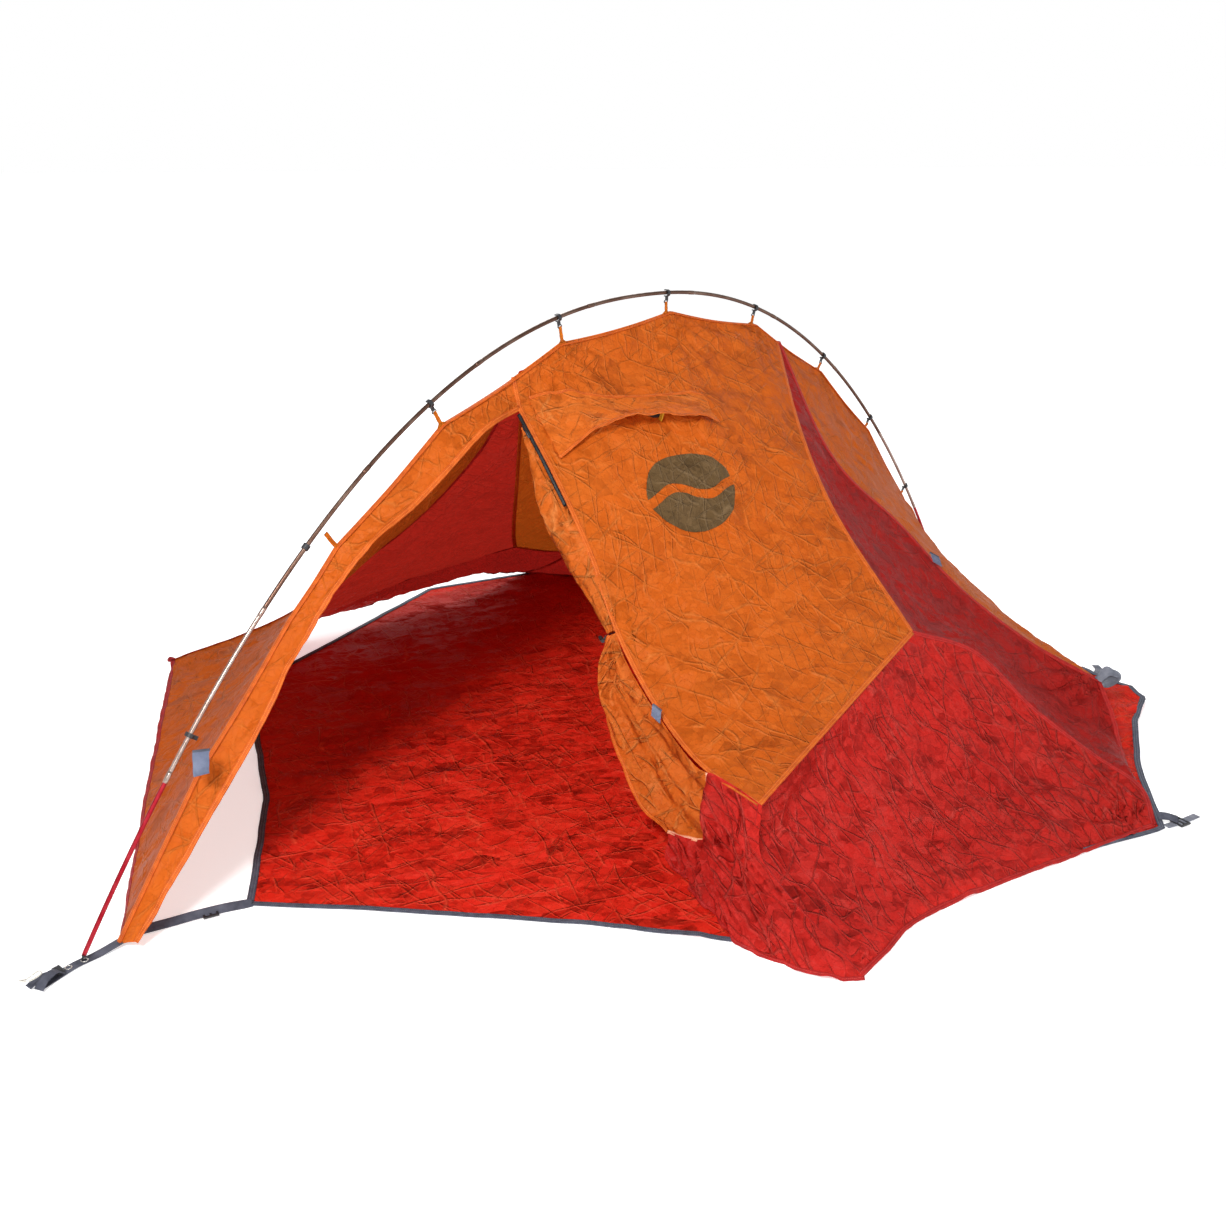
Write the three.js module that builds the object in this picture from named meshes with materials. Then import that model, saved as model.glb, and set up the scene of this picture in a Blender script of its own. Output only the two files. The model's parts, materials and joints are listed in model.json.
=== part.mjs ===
// A single-hoop trekking tent. One jointed pole stands diagonally over the floor, the fly sheet hangs
// under it from clips, and a groundsheet lies beneath. Millimetres, +Z up, origin at the middle of the
// floor on the ground, +X along the floor's long side. The near door is rolled back, the far one shut.
import * as THREE from "three";

// ---- Driving dimensions ----
const LIFT = 0.6; // height of webbing that lies on the ground
const HEM = 6; // height of a hem that touches the ground
const CLOTH = 2.4; // thickness of a cloth solid
const SEAM_GAP = 2; // how far a cloth solid stops short of its seam
const RIDGE_GAP = 4; // how far a cloth solid stops short of the pole plane at the ridge
const FLOOR = 2; // thickness of the groundsheet

const POLE = {
  azimuth: THREE.MathUtils.degToRad(33.35),
  halfSpan: 1630,
  height: 1150,
  footHeight: 15,
  power: 2.2,
  sections: 11,
  stations: 6,
  sides: 8,
  outer: 4.8,
  bore: 4.1,
  spigotOuter: 3.95,
  spigotBore: 3.3,
  tipRadius: 2.3,
  tipLength: 11,
};
const SHOCK_CORD_RADIUS = 1.5;

const CLIP = { inner: 6.4, wall: 2.6, drop: 1, reach: 6, width: 9, stemWidth: 3, stemEnd: 20 };
const LOOP = { width: 10, thickness: 2, gap: 3 };
const RING = { inner: 5.3, outer: 8, width: 12 };
const WEBBING = { width: 25, thickness: 2 };
const BUCKLE = { length: 32, width: 34, thickness: 4, bar: 4.5, slots: 2 };

// ---- Materials ----
const paint = (color, roughness = 0.75, metalness = 0) =>
  new THREE.MeshStandardMaterial({ color, roughness, metalness });
const LOOKS = {
  orange: paint(0xd2691e),
  red: paint(0xb8322c),
  floor: paint(0xb81c14),
  bronze: paint(0x8a7560, 0.35, 0.9),
  redTube: paint(0x9c1c28, 0.4, 0.8),
  black: paint(0x1b1b1d, 0.45),
  grey: paint(0x5a5c66),
  patch: paint(0x8a92a0),
  yellow: paint(0xd8a21c, 0.6),
  elastic: paint(0xe6e2d8, 0.9),
};

const tent = new THREE.Group();
tent.name = "tent_on_poles";

function add(name, geometry, look) {
  const mesh = new THREE.Mesh(geometry, look);
  mesh.name = name;
  tent.add(mesh);
  return mesh;
}

// ---- Points and curves ----
const vector = ([x, y, z]) => new THREE.Vector3(x, y, z);
const halfTurn = (points) => points.map(([x, y, z]) => [-x, -y, z]);
const shifted = (points, [dx, dy, dz]) => points.map(([x, y, z]) => [x + dx, y + dy, z + dz]);

/** Points evenly spaced along a smooth curve through the given points. */
function smooth(points, pieces) {
  const curve = new THREE.CatmullRomCurve3(points.map(vector), false, "centripetal");
  return curve.getSpacedPoints(pieces);
}

/** Points evenly spaced along straight stretches between the given points. */
function straight(points, pieces) {
  const path = new THREE.CatmullRomCurve3(points.map(vector), false, "catmullrom", 0);
  path.arcLengthDivisions = 1000;
  return path.getSpacedPoints(pieces);
}

// ---- The pole and its plane ----
const ALONG = new THREE.Vector3(Math.cos(POLE.azimuth), Math.sin(POLE.azimuth), 0);
const ACROSS = new THREE.Vector3(-ALONG.y, ALONG.x, 0); // towards the far side

/** A point by its distance along the pole's plan line, its height, and its distance off the plane. */
function onPlane(s, z, off = 0) {
  const p = ALONG.clone().multiplyScalar(s).addScaledVector(ACROSS, off);
  return [p.x, p.y, z];
}

class PoleArc extends THREE.Curve {
  getPoint(t, target = new THREE.Vector3()) {
    const share = 2 * t - 1;
    const rise = 1 - Math.abs(share) ** POLE.power;
    const z = POLE.footHeight + (POLE.height - POLE.footHeight) * rise;
    return target.set(...onPlane(share * POLE.halfSpan, z));
  }
}
const arc = new PoleArc();
arc.arcLengthDivisions = 2000;
const ARC_LENGTH = arc.getLength();
const SECTION = ARC_LENGTH / POLE.sections;
const STATION = SECTION / POLE.stations;

/** Place, direction and outward normal of the pole at a length along it, straight past its ends. */
function poleFrame(length) {
  const held = THREE.MathUtils.clamp(length, 0, ARC_LENGTH);
  const along = arc.getTangentAt(held / ARC_LENGTH);
  const at = arc.getPointAt(held / ARC_LENGTH).addScaledVector(along, length - held);
  const out = new THREE.Vector3().crossVectors(along, ACROSS);
  return { at, along, out, side: new THREE.Vector3().crossVectors(out, along) };
}

/** The length along the pole at a distance s along its plan line. */
function poleLength(s) {
  const lengths = arc.getLengths();
  const place = ((s / POLE.halfSpan + 1) / 2) * (lengths.length - 1);
  const k = Math.min(Math.floor(place), lengths.length - 2);
  return THREE.MathUtils.lerp(lengths[k], lengths[k + 1], place - k);
}

/** Bends a straight geometry that runs along Y on to the pole, away from or back from a length. */
function bendOnPole(geometry, start, direction = 1) {
  const p = geometry.getAttribute("position");
  for (let i = 0; i < p.count; i++) {
    const f = poleFrame(start + direction * p.getY(i));
    f.at.addScaledVector(f.out, p.getX(i)).addScaledVector(f.side, direction * p.getZ(i));
    p.setXYZ(i, f.at.x, f.at.y, f.at.z);
  }
  return geometry;
}

const turn = (outline, sides = POLE.sides) =>
  new THREE.LatheGeometry(
    outline.map(([r, y]) => new THREE.Vector2(r, y)),
    sides,
  );

const stationHeights = (first, last) =>
  Array.from({ length: last - first + 1 }, (_, k) => (first + k) * STATION);

/** Closed outline of one tube. A foot has a plug and a tip at its start; a spigot enters the next. */
function tubeOutline(hasFoot, hasSpigot) {
  const outer = stationHeights(0, POLE.stations).map((y) => [POLE.outer, y]);
  const spigot = [
    [POLE.spigotOuter, SECTION],
    [POLE.spigotOuter, SECTION + STATION],
    [POLE.spigotBore, SECTION + STATION],
    [POLE.spigotBore, SECTION],
    [POLE.spigotBore, SECTION - STATION],
  ];
  const boreTop = hasSpigot ? POLE.stations - 1 : POLE.stations;
  const bore = stationHeights(hasFoot ? 1 : 0, boreTop)
    .reverse()
    .map((y) => [POLE.bore, y]);
  const inside = [...(hasSpigot ? spigot : []), ...bore];
  if (!hasFoot) return [...outer, ...inside, outer[0]];
  const tip = [
    [0, -POLE.tipLength],
    [POLE.tipRadius, 1 - POLE.tipLength],
    [POLE.tipRadius, 0],
  ];
  return [...tip, ...outer, ...inside, [0, STATION]];
}

function buildPole() {
  for (let k = 1; k <= POLE.sections; k++) {
    const isEnd = k === 1 || k === POLE.sections;
    const isLast = k === POLE.sections;
    const tube = turn(tubeOutline(isEnd, !isLast));
    const placed = isLast ? bendOnPole(tube, ARC_LENGTH, -1) : bendOnPole(tube, (k - 1) * SECTION);
    add(`pole_section_${k}`, placed, isEnd ? LOOKS.redTube : LOOKS.bronze);
  }
  const clearance = 2;
  const middle = stationHeights(2, POLE.sections * POLE.stations - 2);
  const ends = [STATION + clearance, ARC_LENGTH - STATION - clearance];
  const outline = [
    [0, ends[0]],
    ...[ends[0], ...middle, ends[1]].map((y) => [SHOCK_CORD_RADIUS, y]),
    [0, ends[1]],
  ];
  add("shock_cord", bendOnPole(turn(outline, 6), 0), LOOKS.elastic);
}

// ---- Closed solids from rings and grids ----
/** A geometry from shared corners and triangles, turned the right way out. */
function solid(corners, triangles) {
  const edge = (a, b) => new THREE.Vector3().subVectors(corners[b], corners[a]);
  const volume = triangles.reduce(
    (sum, [a, b, c]) => sum + corners[a].dot(edge(a, b).cross(edge(a, c))),
    0,
  );
  const ordered = volume < 0 ? triangles.map(([a, b, c]) => [a, c, b]) : triangles;
  const geometry = new THREE.BufferGeometry().setFromPoints(corners);
  geometry.setIndex(ordered.flat());
  geometry.computeVertexNormals();
  return geometry;
}

/** A closed skin over rings of equally many corners, with flat ends. */
function skin(rings) {
  const n = rings[0].length;
  const triangles = [];
  for (let r = 0; r + 1 < rings.length; r++)
    for (let k = 0; k < n; k++) {
      const [a, b] = [r * n + k, r * n + ((k + 1) % n)];
      triangles.push([a, b, b + n], [a, b + n, a + n]);
    }
  const top = (rings.length - 1) * n;
  for (let k = 1; k + 1 < n; k++)
    triangles.push([0, k + 1, k], [top, top + k, top + k + 1]);
  return solid(rings.flat(), triangles);
}

/** Directions along a line of points. */
const directions = (points) =>
  points.map((_, k) => {
    const [before, after] = [points[Math.max(k - 1, 0)], points[Math.min(k + 1, points.length - 1)]];
    return new THREE.Vector3().subVectors(after, before).normalize();
  });

/** A flat strap along points; its faces look along up. */
function ribbon(points, width, thickness, up = new THREE.Vector3(0, 0, 1)) {
  const along = directions(points);
  const rings = points.map((p, k) => {
    const side = new THREE.Vector3().crossVectors(along[k], up).normalize();
    const face = new THREE.Vector3().crossVectors(side, along[k]);
    const corner = (w, t) => p.clone().addScaledVector(side, w * width).addScaledVector(face, t * thickness);
    return [corner(-0.5, -0.5), corner(0.5, -0.5), corner(0.5, 0.5), corner(-0.5, 0.5)];
  });
  return skin(rings);
}

/** A round bundle along points, with a radius at each. */
function bundle(points, radii, sides = 8) {
  const along = directions(points);
  const rings = points.map((p, k) => {
    const side = new THREE.Vector3(0, 0, 1).cross(along[k]).normalize();
    const up = new THREE.Vector3().crossVectors(along[k], side);
    return Array.from({ length: sides }, (_, i) => {
      const a = (2 * Math.PI * i) / sides;
      return p
        .clone()
        .addScaledVector(side, radii[k] * Math.cos(a))
        .addScaledVector(up, radii[k] * Math.sin(a));
    });
  });
  return skin(rings);
}

/** A grid of points between four borders. Rows run from top to bottom, columns from left to right. */
function fillBorders({ top, bottom, left, right }) {
  const [columns, rows] = [top.length - 1, left.length - 1];
  return left.map((start, j) => {
    const v = j / rows;
    return top.map((_, i) => {
      const u = i / columns;
      const across = start.clone().lerp(right[j], u);
      const down = top[i].clone().lerp(bottom[i], v);
      const corners = top[0].clone().lerp(top[columns], u);
      corners.lerp(bottom[0].clone().lerp(bottom[columns], u), v);
      return across.add(down).sub(corners);
    });
  });
}

const transposed = (grid) => grid[0].map((_, i) => grid.map((row) => row[i]));

/** Pulls the first and last point of each row inwards by a gap. */
const trimmed = (grid, gap) =>
  grid.map((row) => {
    const pulled = row.map((p) => p.clone());
    const last = row.length - 1;
    for (const [end, next] of [[0, 1], [last, last - 1]]) {
      const inward = new THREE.Vector3().subVectors(row[next], row[end]);
      pulled[end].addScaledVector(inward, Math.min(0.3, gap / (inward.length() + 1e-6)));
    }
    return pulled;
  });

/** Unit normals of a grid of points. */
function normals(grid) {
  const pick = (j, i) => grid[THREE.MathUtils.clamp(j, 0, grid.length - 1)][
    THREE.MathUtils.clamp(i, 0, grid[0].length - 1)
  ];
  return grid.map((row, j) =>
    row.map((_, i) => {
      const across = new THREE.Vector3().subVectors(pick(j, i + 1), pick(j, i - 1));
      const down = new THREE.Vector3().subVectors(pick(j + 1, i), pick(j - 1, i));
      return across.cross(down).normalize();
    }),
  );
}

/** A sheet of cloth of even thickness over a grid, trimmed at its seams and kept above the ground. */
function sheet(grid, thickness = CLOTH) {
  const cut = transposed(trimmed(transposed(trimmed(grid, SEAM_GAP)), SEAM_GAP));
  const facing = normals(cut);
  const [rows, columns] = [cut.length, cut[0].length];
  const face = (side) =>
    cut.flatMap((row, j) =>
      row.map((p, i) => p.clone().addScaledVector(facing[j][i], (side * thickness) / 2)),
    );
  const corners = [...face(1), ...face(-1)];
  const half = rows * columns;
  const triangles = [];
  for (let j = 0; j + 1 < rows; j++)
    for (let i = 0; i + 1 < columns; i++) {
      const [a, b] = [j * columns + i, j * columns + i + 1];
      const [c, d] = [b + columns, a + columns];
      triangles.push([a, b, c], [a, c, d]);
      triangles.push([half + a, half + c, half + b], [half + a, half + d, half + c]);
    }
  const rim = [
    ...Array.from({ length: columns - 1 }, (_, i) => i),
    ...Array.from({ length: rows - 1 }, (_, j) => j * columns + columns - 1),
    ...Array.from({ length: columns - 1 }, (_, i) => rows * columns - 1 - i),
    ...Array.from({ length: rows - 1 }, (_, j) => (rows - 1 - j) * columns),
  ];
  rim.forEach((a, k) => {
    const b = rim[(k + 1) % rim.length];
    triangles.push([a, half + a, half + b], [a, half + b, b]);
  });
  return solid(corners, triangles);
}

// ---- The fly sheet's seams ----
const RIDGE = [
  [-1560, HEM], [-1350, 300], [-1100, 575], [-970, 705], [-665, 921], [-296, 1057], [105, 1096],
  [469, 1029], [800, 858], [1084, 636], [1333, 366], [1500, 160], [1590, HEM],
];

/** Height of the ridge, which runs straight from one hanging point to the next. */
function ridgeHeight(s) {
  const k = Math.max(1, RIDGE.findIndex(([at]) => at >= s));
  const [[s0, z0], [s1, z1]] = [RIDGE[k - 1], RIDGE[k]];
  return z0 + ((z1 - z0) * (s - s0)) / (s1 - s0);
}

/** The ridge between two distances along the plan line, beside the pole plane. */
function ridge(from, to, side) {
  const between = RIDGE.filter(([s]) => s > from + 1 && s < to - 1).map(([s]) => s);
  return [from, ...between, to].map((s) => onPlane(s, ridgeHeight(s), side * RIDGE_GAP));
}

const NEAR = -1;
const FAR = 1;
const ROWS = { lip: 1, edge: 8, lower: 5 };
const PIECES = { main: 8, band: 14, end: 14, hem: 6, wedge: 4 };

const APEX = [-365, -262, 930]; // top of the near door
const DOOR_TOP = 450; // how far the door tops lie from the middle of the ridge
const NEAR_TIP = [100, -1300, HEM];
const NEAR_CORNER = [1010, -912, HEM];
const RIGHT_PEG = [1210, -350, 120];
const NEAR_SEAM = [[-20, -1030, 250], [265, -775, 318], [550, -520, 385]];
const NEAR_WEDGE_TOP = 580;

const near = {
  lip: straight([onPlane(-DOOR_TOP, ridgeHeight(-DOOR_TOP), -RIDGE_GAP), APEX], ROWS.lip),
  doorEdge: smooth(
    [
      APEX, [-300, -420, 775], [-250, -530, 630], [-215, -610, 490], [-160, -730, 360],
      [-100, -880, 280], NEAR_SEAM[0],
    ],
    ROWS.edge,
  ),
  tipSeam: smooth(
    [NEAR_SEAM[0], [-25, -1035, 150], [10, -1105, 90], [60, -1215, 40], NEAR_TIP],
    ROWS.lower,
  ),
  seam: smooth(NEAR_SEAM, PIECES.main),
  hem: smooth(
    [NEAR_TIP, [179, -1240, HEM], [242, -1184, HEM], [333, -1130, HEM], [531, -1057, HEM], [776, -985, HEM],
      NEAR_CORNER],
    PIECES.main,
  ),
  wedgeLeft: smooth(
    [
      onPlane(NEAR_WEDGE_TOP - 6, ridgeHeight(NEAR_WEDGE_TOP), -RIDGE_GAP),
      [420, -80, 770], [440, -270, 620], NEAR_SEAM[2],
    ],
    ROWS.lip + ROWS.edge,
  ),
  fold: smooth(
    [NEAR_SEAM[2], [740, -500, 305], [860, -590, 180], [1000, -670, 70], [1045, -800, 42], NEAR_CORNER],
    ROWS.lower,
  ),
  wedgeRight: smooth(
    [
      onPlane(NEAR_WEDGE_TOP + 6, ridgeHeight(NEAR_WEDGE_TOP), -RIDGE_GAP),
      [548, 0, 690], [728, -40, 515], [860, -165, 360], [1055, -262, 205], RIGHT_PEG,
    ],
    ROWS.lip + ROWS.edge + ROWS.lower,
  ),
  cornerHem: smooth([NEAR_CORNER, [1160, -550, 30], RIGHT_PEG], PIECES.wedge),
  endHem: smooth(
    [RIGHT_PEG, [1240, 50, 100], [1280, 450, 50], onPlane(1590, HEM, -RIDGE_GAP)],
    PIECES.hem,
  ),
};

const FAR_TIP = [-100, 1300, HEM];
const FAR_CORNER = [-1100, 780, HEM];
const LEFT_PEG = [-1270, 380, 130];
const FAR_SEAM = [[50, 1130, 130], [-60, 1035, 166], [-212, 820, 256]];
const FAR_WEDGE_TOP = -420;

const far = {
  lip: straight(
    [onPlane(DOOR_TOP, ridgeHeight(DOOR_TOP), RIDGE_GAP), ...halfTurn([APEX])],
    ROWS.lip,
  ),
  doorEdge: smooth(
    [
      ...halfTurn([APEX]), [300, 420, 775], [250, 530, 630], [200, 650, 480], [140, 820, 320],
      FAR_SEAM[0],
    ],
    ROWS.edge,
  ),
  tipSeam: smooth([FAR_SEAM[0], [-20, 1215, 60], FAR_TIP], ROWS.lower),
  seam: smooth(FAR_SEAM, PIECES.main),
  hem: smooth(
    [FAR_TIP, [-220, 1200, 50], [-340, 1100, 80], [-490, 1030, 72], [-860, 830, 56], FAR_CORNER],
    PIECES.main,
  ),
  wedgeLeft: smooth(
    [
      onPlane(FAR_WEDGE_TOP + 6, ridgeHeight(FAR_WEDGE_TOP), RIDGE_GAP),
      [-316, 100, 674], [-243, 648, 350], FAR_SEAM[2],
    ],
    ROWS.lip + ROWS.edge,
  ),
  fold: smooth([FAR_SEAM[2], [-500, 760, 215], [-800, 700, 135], FAR_CORNER], ROWS.lower),
  wedgeRight: smooth(
    [
      onPlane(FAR_WEDGE_TOP - 6, ridgeHeight(FAR_WEDGE_TOP), RIDGE_GAP),
      [-400, -130, 872], [-439, -20, 767], [-560, 136, 586], [-717, 233, 434], [-938, 400, 236],
      [-1057, 450, 170], LEFT_PEG,
    ],
    ROWS.lip + ROWS.edge + ROWS.lower,
  ),
  cornerHem: smooth([FAR_CORNER, [-1190, 580, 50], LEFT_PEG], PIECES.wedge),
  endHem: smooth([onPlane(-1560, HEM, RIDGE_GAP), [-1290, -300, 60], LEFT_PEG], PIECES.hem),
};

/** Lower edge of the strip of fly above an open door: distance along the plan line, and height. */
const BAND_EDGE = [
  [-1541, 20], [-1377, 206], [-1232, 367], [-1135, 494], [-996, 646], [-885, 723], [-792, 767],
  [-699, 824], [-574, 906],
];
const BAND_OFFSET = 40;
const bandEdge = [...BAND_EDGE.map(([s, z]) => onPlane(s, z, -BAND_OFFSET)), APEX];

const joined = (...lines) => lines.flatMap((line, k) => (k ? line.slice(1) : line));
const backwards = (line) => [...line].reverse();
const between = (a, b, pieces) => straight([a.toArray(), b.toArray()], pieces);

function mainPanel(side, ridgeLine) {
  return {
    top: straight(ridgeLine, PIECES.main),
    left: joined(side.lip, side.doorEdge),
    right: side.wedgeLeft,
    bottom: side.seam,
  };
}
const lowerPanel = (side) => ({
  top: side.seam,
  left: side.tipSeam,
  right: side.fold,
  bottom: side.hem,
});
const wedgePanel = (side) => ({
  top: between(side.wedgeLeft[0], side.wedgeRight[0], PIECES.wedge),
  left: joined(side.wedgeLeft, side.fold),
  right: side.wedgeRight,
  bottom: side.cornerHem,
});
function endPanel(side, ridgeLine, endHem) {
  const top = straight(ridgeLine, side.wedgeRight.length - 1);
  return {
    top: side.wedgeRight,
    bottom: top,
    left: between(side.wedgeRight[0], top[0], PIECES.hem),
    right: endHem,
  };
}
function bandPanel(edge, lip, ridgeLine) {
  const top = straight(ridgeLine, PIECES.band);
  const bottom = smooth(edge, PIECES.band);
  return { top, bottom, left: between(top[0], bottom[0], 2), right: between(lip[0], lip[1], 2) };
}

const nearMain = fillBorders(mainPanel(near, ridge(-DOOR_TOP, NEAR_WEDGE_TOP - 6, NEAR)));

function buildFly() {
  add("fly_near_main", sheet(nearMain), LOOKS.orange);
  add("fly_near_lower", sheet(fillBorders(lowerPanel(near))), LOOKS.red);
  add("fly_near_wedge", sheet(fillBorders(wedgePanel(near))), LOOKS.red);
  const rightEnd = endPanel(near, ridge(NEAR_WEDGE_TOP + 6, 1590, NEAR), near.endHem);
  add("fly_right_end", sheet(fillBorders(rightEnd)), LOOKS.orange);
  const nearBand = bandPanel(bandEdge, near.lip, ridge(-1560, -DOOR_TOP, NEAR));
  add("fly_near_band", sheet(fillBorders(nearBand)), LOOKS.orange);

  const farRidge = (from, to) => ridge(from, to, FAR).reverse();
  const farMain = mainPanel(far, farRidge(FAR_WEDGE_TOP + 6, DOOR_TOP));
  add("fly_far_main", sheet(fillBorders(farMain)), LOOKS.orange);
  add("fly_far_lower", sheet(fillBorders(lowerPanel(far))), LOOKS.red);
  add("fly_far_wedge", sheet(fillBorders(wedgePanel(far))), LOOKS.red);
  const leftEnd = endPanel(far, farRidge(-1560, FAR_WEDGE_TOP - 6), backwards(far.endHem));
  add("fly_left_end", sheet(fillBorders(leftEnd)), LOOKS.orange);
  const farEdge = halfTurn(bandEdge).reverse();
  const farBand = bandPanel(farEdge, far.lip, ridge(DOOR_TOP, 1590, FAR));
  farBand.left = between(far.lip[0], far.lip[1], 2);
  farBand.right = between(farBand.top.at(-1), farBand.bottom.at(-1), 2);
  add("fly_far_band", sheet(fillBorders(farBand)), LOOKS.orange);
}

function buildFarDoor() {
  const jamb = smooth(halfTurn(bandEdge).reverse(), ROWS.edge + ROWS.lower);
  const top = between(jamb[0], far.doorEdge[0], PIECES.hem);
  const hem = smooth(
    [jamb.at(-1).toArray(), [1050, 915, HEM], [600, 1010, HEM], [200, 1160, HEM], FAR_TIP],
    PIECES.hem,
  );
  const door = fillBorders({
    top,
    left: jamb,
    right: joined(far.doorEdge, far.tipSeam),
    bottom: hem,
  });
  add("far_door_upper", sheet(door.slice(1, ROWS.edge + 1)), LOOKS.orange);
  add("far_door_lower", sheet(door.slice(ROWS.edge)), LOOKS.red);
}

// ---- The near door, rolled back and tied at its toggle ----
const ROLL = [
  [-341, -318, 835, 22], [-302, -408, 712, 32], [-262, -497, 603, 34], [-237, -550, 530, 26],
  [-222, -585, 482, 13],
];
// The part below the toggle hangs along the door edge of the panel, orange above and red at its foot.
const TAIL_LEFT = [
  [-245, -590, 452], [-249, -580, 344], [-230, -624, 260], [-210, -668, 195], [-183, -729, 120],
  [-143, -819, 83],
];
const TAIL_RIGHT = [[-228, -612, 452], [-176, -738, 352], [-116, -886, 270], [-104, -900, 266]];
const TAIL_HEM = [[-143, -819, 83], [-85, -885, 95], [-62, -905, 140], [-85, -900, 205], [-104, -900, 266]];
const FOOT_SHIFT = [1, -7, -5]; // the foot starts below the hem of the tail
const FOOT_RIGHT = [
  [-34, -1036, 240], [-40, -1045, 150], [-4, -1120, 88], [46, -1228, 40], [80, -1312, HEM],
];
const FOOT_HEM = [
  [-150, -830, HEM], [-125, -960, HEM], [-115, -1030, HEM], [-87, -1160, HEM], [0, -1262, HEM],
  [80, -1312, HEM],
];

function buildRolledDoor() {
  const rollPath = ROLL.map(vector);
  add("door_roll", bundle(rollPath, ROLL.map((p) => p[3])), LOOKS.orange);

  const tail = {
    top: between(vector(TAIL_LEFT[0]), vector(TAIL_RIGHT[0]), 4),
    bottom: smooth(TAIL_HEM, 4),
    left: smooth(TAIL_LEFT, 8),
    right: smooth(TAIL_RIGHT, 8),
  };
  add("door_tail", sheet(fillBorders(tail)), LOOKS.orange);

  const top = smooth([...shifted(TAIL_HEM, FOOT_SHIFT), [-68, -970, 252], FOOT_RIGHT[0]], 8);
  const bottom = smooth(FOOT_HEM, 8);
  const hem = { top, bottom, left: between(top[0], bottom[0], 4), right: smooth(FOOT_RIGHT, 4) };
  add("door_tail_hem", sheet(fillBorders(hem)), LOOKS.red);

  const zipStart = near.doorEdge[0].clone().lerp(near.doorEdge[1], 0.15);
  const zipLine = [zipStart, near.doorEdge[1], near.doorEdge[2]].map((p) => p.toArray());
  const zip = smooth(shifted(zipLine, [-14, -8, 2]), 6);
  add("door_zip", ribbon(zip, 10, 2.5, vector([0.45, -0.75, 0.5])), LOOKS.black);
  const slider = new THREE.BoxGeometry(7, 5, 14);
  const place = zip[1].clone().add(vector([-3.5, -6, 3.5]));
  const mesh = add("zip_slider", slider, LOOKS.black);
  mesh.position.copy(place);
  mesh.quaternion.setFromUnitVectors(
    new THREE.Vector3(0, 0, 1),
    new THREE.Vector3().subVectors(zip[2], zip[0]).normalize(),
  );

  const neck = vector([-222, -585, 467]);
  const loop = add("toggle_loop", new THREE.TorusGeometry(19, 1.6, 6, 18), LOOKS.black);
  loop.position.copy(neck);
  loop.lookAt(neck.clone().add(vector([0.25, -0.3, -0.9])));
  const barrel = [[0, -13], [4.5, -13], [5, -6], [3.2, 0], [5, 6], [4.5, 13], [0, 13]];
  const toggle = add("door_toggle", turn(barrel, 10), LOOKS.black);
  toggle.position.copy(neck).add(vector([-26, -11, 0]));
}

// ---- The vent over the near panel ----
const VENT = {
  ends: [0.033, 0.578], // as shares of the near main panel, across
  top: [0.1, 0.172, 0.216, 0.258], // and down, at equal steps across
  foot: [0.244, 0.25, 0.283, 0.344],
  lift: 34, clear: 6, pieces: 12, strut: 0.653,
};

/** A point over the near main panel: u from left to right, v downwards, at a height off the cloth. */
function overMain(u, v, height) {
  const at = (j, i) => nearMain[Math.min(j, nearMain.length - 1)][Math.min(i, nearMain[0].length - 1)];
  const [x, y] = [u * (nearMain[0].length - 1), v * (nearMain.length - 1)];
  const [i, j] = [Math.floor(x), Math.floor(y)];
  const upper = at(j, i).clone().lerp(at(j, i + 1), x - i);
  const lower = at(j + 1, i).clone().lerp(at(j + 1, i + 1), x - i);
  const across = new THREE.Vector3().subVectors(at(j, i + 1), at(j, i));
  const down = new THREE.Vector3().subVectors(at(j + 1, i), at(j, i));
  const out = down.cross(across).normalize();
  return upper.lerp(lower, y - j).addScaledVector(out, height);
}

// The hood at a share across and down it: it stands off the panel most at the middle of its foot.
function overVent(across, down, height) {
  const { ends, top, foot, lift, clear } = VENT;
  const step = Math.min(Math.floor(across * 3), 2);
  const at = (shares) => THREE.MathUtils.lerp(shares[step], shares[step + 1], across * 3 - step);
  const u = THREE.MathUtils.lerp(ends[0], ends[1], across);
  const v = THREE.MathUtils.lerp(at(top), at(foot), down);
  const arch = Math.sin(Math.PI * (across * 0.8 + 0.03)) ** 1.6;
  const opened = clear + lift * down ** 1.5 * arch;
  return overMain(u, v, height ?? opened);
}

function buildVent() {
  const { pieces, strut, lift } = VENT;
  const hood = Array.from({ length: 5 }, (_, j) =>
    Array.from({ length: pieces + 1 }, (_, i) => overVent(i / pieces, j / 4)),
  );
  add("vent_hood", sheet(hood), LOOKS.orange);
  const rod = [overVent(strut, 0.95, 4), overVent(strut, 0.85, lift * 0.7)];
  add("vent_strut", ribbon(straight(rod.map((p) => p.toArray()), 1), 9, 3, ALONG), LOOKS.yellow);
}

// ---- Clips, loops and the parts on the pole ----
const CLIPS = [-700, -302, 91, 466, 811, 1095, 1347]; // places along the plan line
const FIRST_CLIP = 3; // number of the first clip that holds the fly
const LOOSE_CLIP = -1354;
const LOOSE_RING = -1047;
const LOOSE_TAB = { from: -970, length: 42 };

/** Outline of a hook that holds the pole from one side: x away from the opening, y outwards. */
function hookOutline() {
  const { inner, wall, drop, reach, stemWidth, stemEnd } = CLIP;
  const outer = inner + wall;
  const stem = stemWidth / 2;
  const quarter = Math.PI / 2;
  const shape = new THREE.Shape();
  shape.moveTo(reach, outer - drop);
  shape.lineTo(0, outer - drop);
  shape.absarc(0, -drop, outer, quarter, 3 * quarter - Math.asin(stem / outer), false);
  shape.lineTo(-stem, -stemEnd);
  shape.lineTo(stem, -stemEnd);
  shape.lineTo(stem, -outer - drop);
  shape.lineTo(reach, -outer - drop);
  shape.lineTo(reach, -inner - drop);
  shape.lineTo(0, -inner - drop);
  shape.absarc(0, -drop, inner, 3 * quarter, quarter, true);
  shape.lineTo(reach, inner - drop);
  return shape;
}

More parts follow.
